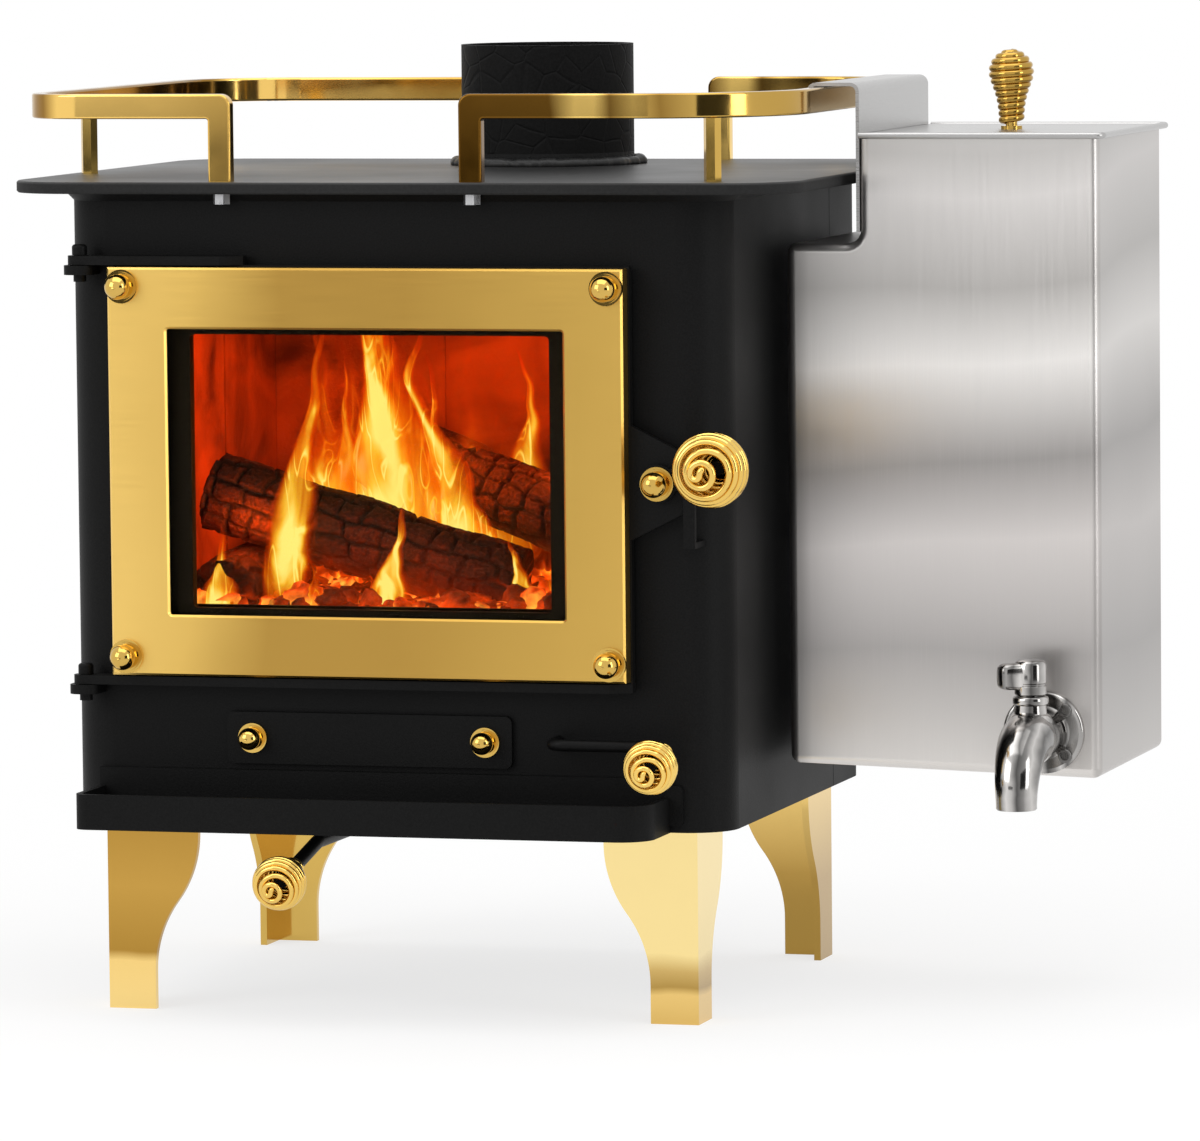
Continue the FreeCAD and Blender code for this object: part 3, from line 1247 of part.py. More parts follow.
def log_guard():
    """Angle bar that keeps the logs off the glass."""
    half = CHAMBER_HALF - GUARD_END_GAP
    y0 = GUARD_FROM_FRONT
    t = GUARD_SHEET
    foot = box(-half, half, y0, y0 + EMBER_MARGIN, BED_Z, BED_Z + t)
    return box(-half, half, y0, y0 + t, BED_Z, BED_Z + GUARD_HEIGHT).fuse(foot).removeSplitter()


def ember_bed():
    half = CHAMBER_HALF - EMBER_MARGIN
    y0 = GUARD_FROM_FRONT + EMBER_MARGIN + FIT_GAP
    y1 = CHAMBER_BACK - EMBER_MARGIN
    outlines = []
    for inset, z in ((0, BED_Z), (EMBER_SLOPE, EMBER_TOP)):
        points = [V(-half + inset, y0 + inset, z), V(half - inset, y0 + inset, z),
                  V(half - inset, y1 - inset, z), V(-half + inset, y1 - inset, z)]
        outlines.append(Part.Wire(rounded_edges(points, [EMBER_CORNER - inset] * len(points))))
    return Part.makeLoft(outlines, True, True)


def split_log(length, axis_start, direction):
    """A round log with one side split flat, lying along the direction."""
    log = Part.makeCylinder(LOG_RADIUS, length)
    far = 2 * LOG_RADIUS
    log = log.cut(box(-far, -LOG_RADIUS * LOG_FLAT_SHARE, -far, far, -OVERRUN, length + OVERRUN))
    return aimed(log, axis_start, direction).fuse([])


def leaning_log(run, length, support, contact_x, y):
    """A log with its low end on the embers that lies across another log's height."""
    angle = 0.0
    for _ in range(LEAN_STEP_COUNT):
        over = support + LOG_RADIUS / math.cos(angle) + 2 * SEAT_GAP
        end = LOG_RADIUS * math.cos(angle) + SEAT_GAP
        angle = math.atan((over - end) / run)
    down = V(math.cos(angle), 0, -math.sin(angle))
    return split_log(length, V(contact_x + run, y, EMBER_TOP + end) - down * length, down)


def firewood():
    """Two logs that lie on the embers and two that lean on them."""
    lying = EMBER_TOP + LOG_RADIUS + SEAT_GAP
    width = 2 * CHAMBER_HALF
    prop_x = PROP_LOG_X_SHARE * width
    prop_y = PROP_LOG_Y_SHARE * CHAMBER_BACK
    rear_x = REAR_LOG_X_SHARE * width
    rear_y = REAR_LOG_Y_SHARE * CHAMBER_BACK
    prop_length = PROP_LOG_SHARE * CHAMBER_BACK
    rear_length = REAR_LOG_SHARE * width
    split_height = LOG_RADIUS * (1 + LOG_FLAT_SHARE)
    logs = [split_log(prop_length, V(prop_x, prop_y - prop_length / 2, lying), V(0, 1, 0)),
            split_log(rear_length, V(rear_x - rear_length / 2, rear_y, lying), V(1, 0, 0)),
            leaning_log(FRONT_LOG_RUN_SHARE * width, FRONT_LOG_SHARE * width, 2 * LOG_RADIUS, prop_x,
                        FRONT_LOG_Y_SHARE * CHAMBER_BACK),
            leaning_log(CROSS_LOG_RUN_SHARE * width, CROSS_LOG_SHARE * width, split_height,
                        CROSS_LOG_X_SHARE * width, rear_y)]
    return Part.makeCompound(logs)


# Water tank
def tank_block(inset, top):
    """The stepped body of the tank, its floor falling to the tap side."""
    x0 = TANK_LEFT_X + inset
    x1 = TANK_SHOULDER_X + inset
    x2 = TANK_RIGHT_X - inset
    low = TANK_BOTTOM_Z + inset
    ledge = TANK_LEDGE_Z - inset
    y0 = TANK_FRONT_Y + inset
    points = [V(x0, y0, low), V(x2, y0, low - TANK_FALL), V(x2, y0, top), V(x1, y0, top),
              V(x1, y0, ledge), V(x0, y0, ledge)]
    bend = TANK_BEND - inset
    block = prism(points, [bend, bend, 0, 0, TANK_LEDGE_BEND + inset, bend], V(0, TANK_DEPTH - 2 * inset, 0))
    uprights = [e for e in block.Edges if is_upright(e)]
    return block.makeFillet(bend, uprights)


def is_upright(edge):
    bounds = edge.BoundBox
    return bounds.ZLength > TANK_LEDGE_BEND * 2 and max(bounds.XLength, bounds.YLength) < TANK_SHEET / 2


def tank_shell():
    shell = tank_block(0, TANK_TOP_Z).cut(tank_block(TANK_SHEET, TANK_TOP_Z + OVERRUN))
    inside = TANK_FRONT_Y + TANK_SHEET + OVERRUN
    shell = shell.cut(rod(V(TAP_X, TANK_FRONT_Y - OVERRUN, TAP_Z), V(TAP_X, inside, TAP_Z),
                          TAP_TAIL + FIT_GAP))
    holes = [rod(p - V(0, OVERRUN, 0), V(p.x, inside, p.z), TAP_SCREW / 2 + RUNNING_GAP)
             for p in tap_screw_points(TANK_FRONT_Y)]
    return shell.cut(holes)


def tank_hook():
    """Sheet lapped on the tank's shoulder, bent over the rail and down behind it."""
    y0 = TANK_FRONT_Y + HOOK_INSET
    y1 = TANK_REAR_Y - HOOK_INSET
    outer = TANK_SHOULDER_X
    inner = HOOK_INNER_X - HOOK_SHEET
    points = [V(outer, y0, TANK_TOP_Z - HOOK_LAP), V(outer, y0, HOOK_TOP_Z), V(inner, y0, HOOK_TOP_Z),
              V(inner, y0, HOOK_TOP_Z - HOOK_LIP)]
    return bent_sheet(points, [0, HOOK_BEND, HOOK_BEND, 0], HOOK_SHEET, V(0, y1 - y0, 0))


def tank_lid():
    """Sheet with a rolled bead along three edges and a skirt inside the tank."""
    x0 = TANK_SHOULDER_X + LID_HOOK_GAP
    x1 = TANK_RIGHT_X + LID_LAP
    y0 = TANK_FRONT_Y - LID_LAP
    y1 = TANK_REAR_Y + LID_LAP
    t = TANK_SHEET
    radii = [0, LID_CORNER, LID_CORNER, 0]
    lid = slab_xy(x0, x1, y0, y1, LID_Z, LID_Z + t, radii)
    middle = LID_Z + t / 2
    edge = [V(x0, y0, middle), V(x1, y0, middle), V(x1, y1, middle), V(x0, y1, middle)]
    bead = swept(edge, radii, LID_BEAD)
    gap = TANK_SHEET + LID_SKIRT_GAP
    sx0 = TANK_SHOULDER_X + gap
    sx1 = TANK_RIGHT_X - gap
    sy0 = TANK_FRONT_Y + gap
    sy1 = TANK_REAR_Y - gap
    bend = TANK_BEND - TANK_SHEET
    low = LID_Z - LID_SKIRT
    skirt = slab_xy(sx0, sx1, sy0, sy1, low, LID_Z, [bend] * 4)
    skirt = skirt.cut(slab_xy(sx0 + t, sx1 - t, sy0 + t, sy1 - t, low - OVERRUN, LID_Z, [bend - t] * 4))
    lid = lid.fuse([bead, skirt]).removeSplitter()
    seat = knob_seat()
    return lid.cut(rod(seat - V(0, 0, t + OVERRUN), seat + V(0, 0, OVERRUN), KNOB_STUD / 2 + RUNNING_GAP))


def knob_seat():
    return V(KNOB_X, TANK_MIDDLE_Y, LID_Z + TANK_SHEET)


def knob_stud():
    """Screw from under the lid, with a washer on top, that holds the knob."""
    head = KNOB_SCREW_HEAD
    stem = KNOB_STUD / 2
    flange = KNOB_FLANGE
    under = -TANK_SHEET
    low = under - KNOB_SCREW_HEAD_HEIGHT
    line = [V(0, 0, low), V(head, 0, low), V(head, 0, under), V(stem, 0, under), V(stem, 0, 0),
            V(flange, 0, 0), V(flange, 0, KNOB_FLANGE_HEIGHT), V(stem, 0, KNOB_FLANGE_HEIGHT),
            V(stem, 0, KNOB_STUD_LENGTH), V(0, 0, KNOB_STUD_LENGTH), V(0, 0, low)]
    stud = Part.Face(Part.makePolygon(line)).revolve(V(0, 0, 0), V(0, 0, 1), 360)
    stud.translate(knob_seat())
    return stud


def lid_knob_coil():
    form = coil("lid_knob_coil", KNOB_COIL_WIRE, KNOB_COIL_PITCH, KNOB_COIL_NECK_TURN_COUNT, KNOB_STUD,
                KNOB_COIL_FILLET, KNOB_COIL_BALL, KNOB_COIL_TIP)
    form.translate(knob_seat() + V(0, 0, KNOB_FLANGE_HEIGHT))
    return form


# Tap
def tap_screw_points(y):
    points = []
    for k in range(TAP_SCREW_COUNT):
        angle = math.pi * (2 * k + 1) / TAP_SCREW_COUNT
        points.append(V(TAP_X + TAP_SCREW_CIRCLE * math.cos(angle), y,
                        TAP_Z + TAP_SCREW_CIRCLE * math.sin(angle)))
    return points


def spout_points():
    bend_y = TAP_STEM_Y - TAP_BEND - TAP_STEM
    return [V(TAP_X, TANK_FRONT_Y - TAP_FLANGE_THICKNESS, TAP_Z), V(TAP_X, bend_y, TAP_Z),
            V(TAP_X, bend_y, TAP_Z - TAP_BEND - TAP_DROP)]


def tap_body():
    """Flange, tail through the tank wall, valve stem and a spout bent down."""
    face = V(TAP_X, TANK_FRONT_Y, TAP_Z)
    front = face - V(0, TAP_FLANGE_THICKNESS, 0)
    flange = rod(face, front, TAP_FLANGE)
    rims = [e for e in flange.Edges if e.BoundBox.YMax < face.y - TAP_FLANGE_THICKNESS / 2]
    flange = flange.makeChamfer(TAP_FLANGE_EDGE, rims)
    tail = rod(face, face + V(0, TAP_TAIL_LENGTH, 0), TAP_TAIL)
    spout = swept(spout_points(), [0, TAP_BEND, 0], TAP_PIPE)
    stem = rod(V(TAP_X, TAP_STEM_Y, TAP_Z), V(TAP_X, TAP_STEM_Y, TAP_Z + TAP_STEM_TOP), TAP_STEM)
    body = flange.fuse([tail, spout, stem]).removeSplitter()
    way = spout_points()
    way[0] = V(TAP_X, TAP_STEM_Y, TAP_Z)
    way[-1] = way[-1] - V(0, 0, OVERRUN)
    body = body.cut(swept(way, [0, TAP_BEND, 0], TAP_BORE))
    tail_end = face + V(0, TAP_TAIL_LENGTH + OVERRUN, 0)
    body = body.cut(rod(tail_end, V(TAP_X, TAP_STEM_Y, TAP_Z), TAP_TAIL_BORE))
    body = body.cut(rod(V(TAP_X, TAP_STEM_Y, TAP_Z - TAP_PLUG_DROP),
                        V(TAP_X, TAP_STEM_Y, TAP_Z + TAP_STEM_TOP + OVERRUN), TAP_PLUG + RUNNING_GAP))
    through = V(0, TAP_FLANGE_THICKNESS + OVERRUN, 0)
    holes = [rod(p + V(0, OVERRUN, 0), p - through, TAP_SCREW / 2 + RUNNING_GAP)
             for p in tap_screw_points(TANK_FRONT_Y)]
    return body.cut(holes)


def tap_screws():
    screws = []
    for p in tap_screw_points(TANK_FRONT_Y):
        seat = p - V(0, TAP_FLANGE_THICKNESS, 0)
        head = rod(seat, seat - V(0, TAP_SCREW_HEAD_HEIGHT, 0), TAP_SCREW_HEAD)
        screws.append(head.fuse(rod(seat, p + V(0, TANK_SHEET, 0), TAP_SCREW / 2)))
    return Part.makeCompound(screws)


def tap_backnut():
    nut = hexagon(TAP_NUT_FLATS, TAP_NUT, V(0, 0, 0))
    nut = nut.cut(rod(V(0, 0, -OVERRUN), V(0, 0, TAP_NUT + OVERRUN), TAP_TAIL + RUNNING_GAP))
    return aimed(nut, V(TAP_X, TANK_FRONT_Y + TANK_SHEET, TAP_Z), V(0, 1, 0)).fuse([])


def tap_plug():
    """Turning plug with a cross hole, shut while the hole lies across the pipe."""
    low = V(TAP_X, TAP_STEM_Y, TAP_Z - TAP_PLUG_DROP + SEAT_GAP)
    plug = rod(low, V(TAP_X, TAP_STEM_Y, TAP_Z + TAP_STEM_TOP + SEAT_GAP), TAP_PLUG)
    across = V(TAP_PIPE, 0, 0)
    middle = V(TAP_X, TAP_STEM_Y, TAP_Z)
    return plug.cut(rod(middle - across, middle + across, TAP_PLUG_BORE))


def tap_handle():
    """Round cap with a stub lever at one side."""
    low = V(TAP_X, TAP_STEM_Y, TAP_Z + TAP_STEM_TOP + SEAT_GAP)
    cap = Part.makeCylinder(TAP_CAP, TAP_CAP_HEIGHT, low)
    half = TAP_LEVER_WIDTH / 2
    side = (TAP_CAP_HEIGHT - TAP_LEVER_HEIGHT) / 2
    reach = TAP_CAP + TAP_LEVER
    soft = half * SOFT_END_SHARE
    lever = slab_xy(0, reach, -half, half, side, side + TAP_LEVER_HEIGHT, [0, soft, soft, 0])
    lever.rotate(V(0, 0, 0), V(0, 0, 1), TAP_LEVER_ANGLE)
    lever.translate(low)
    handle = cap.fuse(lever).removeSplitter()
    rims = [e for e in handle.Edges if e.BoundBox.ZMin > low.z + TAP_CAP_HEIGHT - side / 2]
    return handle.makeFillet(TAP_CAP_EDGE, rims)


NODES = {
    "firebox_shell": firebox_shell, "rear_shell": rear_shell, "base_plate": base_plate,
    "cooktop_plate": cooktop_plate, "flue_collar": flue_collar, "left_rail": left_rail,
    "right_rail": right_rail, "rail_posts": rail_posts, "rail_screws": rail_screws, "ash_shelf": ash_shelf,
    "leg_bolts": leg_bolts, "hinge_lugs": hinge_lugs, "hinge_pins": hinge_pins, "latch_keeper": latch_keeper,
    "air_cover_plate": air_cover_plate, "air_cover_nuts": air_cover_nuts, "floor_plate": floor_plate,
    "floor_brick": floor_brick, "side_bricks": side_bricks, "rear_brick": rear_brick,
    "baffle_plate": baffle_plate, "log_guard": log_guard, "air_box": air_box, "damper_guides": damper_guides,
    "ember_bed": ember_bed, "firewood": firewood,
    "door_frame": door_frame, "upper_strap": upper_strap, "lower_strap": lower_strap, "door_trim": door_trim,
    "trim_nuts": trim_nuts, "door_glass": door_glass, "glass_gasket": glass_gasket,
    "glass_retainer": glass_retainer, "door_gasket": door_gasket, "latch_bolt": latch_bolt,
    "latch_nut": latch_nut, "latch_lever": latch_lever, "door_handle_coil": door_handle_coil,
    "primary_crank": primary_crank, "primary_flap": primary_flap, "primary_handle_coil": primary_handle_coil,
    "secondary_rod": secondary_rod, "secondary_damper": secondary_damper,
    "secondary_handle_coil": secondary_handle_coil,
    "tank_shell": tank_shell, "tank_hook": tank_hook, "tap_body": tap_body, "tap_screws": tap_screws,
    "tap_backnut": tap_backnut, "tank_lid": tank_lid, "knob_stud": knob_stud, "lid_knob_coil": lid_knob_coil,
    "tap_handle": tap_handle, "tap_plug": tap_plug,
}


def all_shapes():
    shapes = {name: make() for name, make in NODES.items()}
    for name, corner in leg_corners().items():
        shapes[name] = leg(*corner)
    return shapes


def main():
    os.makedirs("parts", exist_ok=True)
    shapes = all_shapes()
    bounds = FreeCAD.BoundBox()
    for shape in shapes.values():
        bounds.add(shape.optimalBoundingBox(False, False))
    shift = V(-(bounds.XMin + bounds.XMax) / 2, -(bounds.YMin + bounds.YMax) / 2, -bounds.ZMin)
    print("shift", shift, "size", bounds.XLength, bounds.YLength, bounds.ZLength)
    for name, shape in shapes.items():
        moved = shape.copy()
        moved.translate(shift)
        if not moved.isValid():
            print("not valid:", name)
        moved.exportStep("parts/" + name + ".step")


if __name__ == "__main__":
    main()
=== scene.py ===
import json
import math
import random

import bmesh
import bpy
from mathutils import Matrix, Vector, noise
from mathutils.geometry import interpolate_bezier


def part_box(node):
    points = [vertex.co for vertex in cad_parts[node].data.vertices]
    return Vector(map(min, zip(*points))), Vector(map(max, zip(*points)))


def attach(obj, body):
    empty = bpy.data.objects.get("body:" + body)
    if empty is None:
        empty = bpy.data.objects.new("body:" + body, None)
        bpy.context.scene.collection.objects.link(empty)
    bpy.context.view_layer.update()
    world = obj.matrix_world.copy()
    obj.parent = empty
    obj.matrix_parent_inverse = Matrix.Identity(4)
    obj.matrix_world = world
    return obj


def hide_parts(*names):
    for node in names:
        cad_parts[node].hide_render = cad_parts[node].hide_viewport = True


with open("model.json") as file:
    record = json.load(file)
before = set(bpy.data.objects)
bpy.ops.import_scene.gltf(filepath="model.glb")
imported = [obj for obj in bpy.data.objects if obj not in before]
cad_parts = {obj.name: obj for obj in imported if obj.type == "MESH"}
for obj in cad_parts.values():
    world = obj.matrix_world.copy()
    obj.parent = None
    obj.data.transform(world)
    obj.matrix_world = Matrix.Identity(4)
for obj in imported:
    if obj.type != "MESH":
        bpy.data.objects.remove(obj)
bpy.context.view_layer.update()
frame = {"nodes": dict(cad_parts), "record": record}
nodes = frame["nodes"]
scene = bpy.context.scene

ACROSS = Vector((1, 0, 0))
FORWARD = Vector((0, -1, 0))
UPWARD = Vector((0, 0, 1))
PLATE_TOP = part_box("cooktop_plate")[1].z


def grey(level):
    return (level, level, level)


# Materials: heights of fine relief, in metres
GRAIN_HEIGHT = 0.0004
WRINKLE_HEIGHT = 0.0008
RIPPLE_HEIGHT = 0.003
PLATING_HEIGHT = 0.0002
BRUSH_HEIGHT = 0.0001
WAVE_HEIGHT = 0.008
GRIT_HEIGHT = 0.001
CHAR_HEIGHT = 0.0012
# Noise scales of polished and brushed metal, and the stretch of brush lines
POLISH_GRAIN = 60
BRUSH_GRAIN = 2600
BRUSHED_X = (0.012, 1, 1)
BRUSHED_Z = (1, 1, 0.012)
# The dull band on the edge of the cooktop, and the band over its top where the collar ripples
EDGE_BAND = 0.0012
EDGE_DULL = 0.45
RIPPLE_START = 0.0055
RIPPLE_FULL = 0.0035
# Painted reflections and painted light: colours along a node, at places from 0 to 1, that stand in for the
# studio mirrored in the metal
# Painted reflections on the left rail: light and dark bands of the mirrored studio
LEFT_RAIL_PAINTED_REFLECTIONS = (
    (0.0, (0.60, 0.38, 0.09)), (0.04, (0.30, 0.16, 0.03)), (0.07, (0.30, 0.16, 0.03)),
    (0.12, (0.92, 0.60, 0.165)), (0.45, (0.86, 0.55, 0.145)), (0.75, (0.58, 0.345, 0.075)),
    (1.0, (0.60, 0.36, 0.08)),
)
# Painted reflections on the right rail: light and dark bands of the mirrored studio
RIGHT_RAIL_PAINTED_REFLECTIONS = (
    (0.0, (0.15, 0.07, 0.0095)), (0.30, (0.17, 0.082, 0.012)), (0.38, (0.92, 0.62, 0.17)),
    (0.44, (0.92, 0.62, 0.17)), (0.49, (0.24, 0.13, 0.025)), (0.56, (0.60, 0.39, 0.10)),
    (0.64, (0.30, 0.17, 0.035)), (0.74, (0.56, 0.36, 0.09)), (1.0, (0.50, 0.31, 0.07)),
)
# Painted reflections on the legs: light and dark bands of the floor and studio mirrored in them
NEAR_LEG_PAINTED_REFLECTIONS = (
    (0.0, (0.97, 0.70, 0.26)), (0.25, (0.92, 0.64, 0.22)), (0.30, (0.44, 0.245, 0.043)),
    (0.65, (0.56, 0.325, 0.066)), (1.0, (0.48, 0.27, 0.05)),
)
RIGHT_LEG_PAINTED_REFLECTIONS = (
    (0.0, (0.78, 0.51, 0.15)), (0.15, (0.84, 0.57, 0.19)), (0.19, (0.46, 0.29, 0.075)),
    (0.27, (0.62, 0.42, 0.14)), (0.36, (0.93, 0.73, 0.32)), (1.0, (0.93, 0.73, 0.32)),
)
FAR_LEG_PAINTED_REFLECTIONS = ((0.0, (0.40, 0.245, 0.055)), (0.45, (0.44, 0.27, 0.065)), (1.0, (0.86, 0.60, 0.20)))
# Painted light on the door trim: a painted highlight on its hinge side and painted shade across its middle
TRIM_PAINTED_LIGHT = (
    (0.0, (0.90, 0.60, 0.165)), (0.14, (0.80, 0.52, 0.132)), (0.32, (0.50, 0.295, 0.063)),
    (0.55, (0.50, 0.295, 0.063)), (1.0, (0.68, 0.43, 0.100)),
)
# Painted reflections on the tap: light and dark streaks of the mirrored studio across it
TAP_REFLECTION_LEVELS = (
    (0.0, 0.34), (0.14, 0.42), (0.19, 0.09), (0.27, 0.34), (0.34, 0.14), (0.42, 0.66), (0.48, 0.48),
    (0.55, 0.09), (0.64, 0.24), (0.71, 0.60), (0.79, 0.13), (0.86, 0.40), (1.0, 0.34),
)
TAP_PAINTED_REFLECTIONS = [(at, (level, level * 0.97, level * 0.94)) for at, level in TAP_REFLECTION_LEVELS]
# Painted reflections on the tank: broad light and dark bands by height
TANK_PAINTED_REFLECTIONS = (
    (0.0, (0.76, 0.73, 0.70)), (0.20, (0.44, 0.42, 0.41)), (0.37, (0.74, 0.70, 0.68)),
    (0.49, (0.39, 0.37, 0.36)), (0.65, (1.0, 0.97, 0.94)), (0.78, (0.56, 0.54, 0.52)),
    (0.93, (0.84, 0.81, 0.79)), (1.0, (0.66, 0.64, 0.62)),
)
# Painted shade on the tank's upright edges: how much of the dark colour is mixed in across its width
TANK_EDGE_SHADE = (
    (0.0, grey(0.75)), (0.02, grey(0.55)), (0.075, grey(0.0)), (0.97, grey(0.0)), (0.985, grey(0.45)),
)
# Tones by heat, from 0 to 1
FLAME_TONES = (
    (0.0, (0.42, 0.018, 0.0)), (0.25, (0.86, 0.075, 0.001)), (0.45, (1.0, 0.26, 0.005)),
    (0.68, (1.0, 0.58, 0.040)), (1.0, (1.0, 0.93, 0.27)),
)
# Nodes whose paint isn't the one that their material slot names
NODE_PAINTS = {
    "cooktop_plate": "cooktop_paint",
    "flue_collar": "collar_paint",
    "door_trim": "satin_brass",
    "left_rail": "left_rail_brass",
    "right_rail": "right_rail_brass",
    "leg_front_left": "near_leg_brass",
    "leg_front_right": "right_leg_brass",
    "leg_rear_right": "far_leg_brass",
    "latch_lever": "rod_paint",
    "primary_crank": "rod_paint",
    "secondary_rod": "rod_paint",
    "hinge_pins": "rod_paint",
    "tank_lid": "lid_sheet",
    "tank_hook": "lid_sheet",
    "door_handle_coil": "brass_wire",
    "primary_handle_coil": "brass_wire",
    "secondary_handle_coil": "brass_wire",
    "lid_knob_coil": "knob_brass",
}


class Paint:
    """A principled material with short ways to wire textures into it."""

    def __init__(self, name, **values):
        self.name = name
        self.material = bpy.data.materials.new(name)
        self.material.use_nodes = True
        self.tree = self.material.node_tree
        self.shader = self.tree.nodes["Principled BSDF"]
        self.place = self.add("ShaderNodeTexCoord").outputs["Object"]
        for key, value in values.items():
            self.shader.inputs[key.replace("_", " ")].default_value = value

    def add(self, kind, **settings):
        node = self.tree.nodes.new(kind)
        for key, value in settings.items():
            setattr(node, key, value)
        return node

    def join(self, source, target):
        self.tree.links.new(source, target)

    def feed(self, source, socket):
        self.join(source, self.shader.inputs[socket])

    def noise(self, scale, stretch=(1, 1, 1), detail=3.0, distortion=0.0):
        mapping = self.add("ShaderNodeMapping")
        mapping.inputs["Scale"].default_value = stretch
        self.join(self.place, mapping.inputs["Vector"])
        texture = self.add("ShaderNodeTexNoise")
        for key, value in (("Scale", scale), ("Detail", detail), ("Distortion", distortion)):
            texture.inputs[key].default_value = value
        self.join(mapping.outputs["Vector"], texture.inputs["Vector"])
        return texture.outputs["Fac"]

    def cells(self, scale):
        texture = self.add("ShaderNodeTexVoronoi", feature="DISTANCE_TO_EDGE")
        texture.inputs["Scale"].default_value = scale
        self.join(self.place, texture.inputs["Vector"])
        return texture.outputs["Distance"]

    def blend(self, share, first, second):
        node = self.add("ShaderNodeMix", data_type="RGBA")
        for socket, source in (("Factor", share), ("A", first), ("B", second)):
            self.join(source, [s for s in node.inputs if s.name == socket and s.enabled][0])
        return [s for s in node.outputs if s.enabled][0]

    def axis(self, name, low, high):
        """A coordinate that runs from 0 at low to 1 at high."""
        split = self.add("ShaderNodeSeparateXYZ")
        self.join(self.place, split.inputs["Vector"])
        return self.span(split.outputs[name], 0, 1, low, high)

    def value(self, name):
        return self.add("ShaderNodeAttribute", attribute_name=name).outputs["Fac"]

    def span(self, source, low, high, start=0.3, end=0.7):
        """A value that runs from low to high while its source runs from start to end."""
        node = self.add("ShaderNodeMapRange")
        for key, value in zip(("From Min", "From Max", "To Min", "To Max"), (start, end, low, high)):
            node.inputs[key].default_value = value
        self.join(source, node.inputs["Value"])
        return node.outputs["Result"]

    def math(self, operation, first, second=0.0):
        node = self.add("ShaderNodeMath", operation=operation)
        for socket, source in zip(node.inputs, (first, second)):
            if isinstance(source, (int, float)):
                socket.default_value = source
            else:
                self.join(source, socket)
        return node.outputs["Value"]

    def ramp(self, source, *stops):
        node = self.add("ShaderNodeValToRGB")
        points = node.color_ramp.elements
        points.remove(points[1])
        points[0].position = stops[0][0]
        points[0].color = (*stops[0][1], 1)
        for at, colour in stops[1:]:
            points.new(at).color = (*colour, 1)
        self.join(source, node.inputs["Fac"])
        return node.outputs["Color"]

    def mottle(self, texture, dark, light, start=0.3, end=0.7):
        """Base colour that drifts between two tones."""
        self.feed(self.ramp(texture, (start, dark), (end, light)), "Base Color")

    def bump(self, height, strength, distance):
        node = self.add("ShaderNodeBump")
        node.inputs["Strength"].default_value = strength
        node.inputs["Distance"].default_value = distance
        self.join(height, node.inputs["Height"])
        if self.shader.inputs["Normal"].is_linked:
            self.join(self.shader.inputs["Normal"].links[0].from_socket, node.inputs["Normal"])
        self.feed(node.outputs["Normal"], "Normal")


def black_paint(name, shade, rough, grain, strength, gloss=0.10):
    """Heat proof paint on steel with a fine grain."""
    paint = Paint(name, Specular_IOR_Level=gloss)
    fine = paint.noise(grain, detail=2)
    paint.mottle(fine, grey(shade * 0.75), grey(shade * 1.25), 0.35, 0.65)
    paint.feed(paint.span(paint.noise(9, detail=4), rough - 0.05, rough + 0.07), "Roughness")
    paint.bump(fine, strength, GRAIN_HEIGHT)
    return paint


def plate_paint():
    """Semi gloss paint on the top of the cooktop, duller on its edges."""
    paint = black_paint("cooktop_paint", shade=0.008, rough=0.40, grain=700, strength=0.16, gloss=0.42)
    even = paint.shader.inputs["Roughness"].links[0].from_socket
    dull = paint.span(paint.axis("Z", PLATE_TOP - EDGE_BAND, PLATE_TOP), EDGE_DULL, 0.0, 0, 1)
    paint.feed(paint.math("ADD", even, dull), "Roughness")
    return paint


def collar_paint():
    """Matte paint with shallow wrinkles, and ripples just over the weld."""
    paint = black_paint("collar_paint", shade=0.0055, rough=0.62, grain=900, strength=0.25)
    paint.bump(paint.span(paint.cells(80), 0, 1, 0.0, 0.05), 0.35, WRINKLE_HEIGHT)
    foot = paint.axis("Z", PLATE_TOP + RIPPLE_START, PLATE_TOP + RIPPLE_FULL)
    ripple = paint.math("MULTIPLY", foot, paint.noise(240, detail=4, distortion=0.6))
    paint.bump(ripple, 0.9, RIPPLE_HEIGHT)
    return paint


def brass(name, dark, light, rough):
    """Polished brass, a little uneven in tone and shine."""
    paint = Paint(name, Metallic=1.0)
    paint.mottle(paint.noise(16), dark, light)
    paint.feed(paint.span(paint.noise(POLISH_GRAIN), *rough), "Roughness")
    return paint


def metal_with_painted_reflections(name, node, axis, tones, grain=30, drift=0.012, rough=(0.08, 0.14)):
    """Polished metal with painted reflections: its colour runs along one axis of its node."""
    start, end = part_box(node)
    paint = Paint(name, Metallic=1.0)
    waver = paint.span(paint.noise(grain, detail=2), -drift, drift)
    along = paint.axis(axis, getattr(start, axis.lower()), getattr(end, axis.lower()))
    # Painted reflections: the colour is read off a ramp along the axis
    paint.feed(paint.ramp(paint.math("ADD", along, waver), *tones), "Base Color")
    paint.feed(paint.span(paint.noise(POLISH_GRAIN), *rough), "Roughness")
    return paint


def plated_steel(name, dark, light, rough):
    paint = Paint(name, Metallic=1.0)
    fine = paint.noise(700, (1, 1, 0.3))
    paint.mottle(paint.noise(40), dark, light)
    paint.feed(paint.span(fine, *rough), "Roughness")
    paint.bump(fine, 0.05, PLATING_HEIGHT)
    return paint


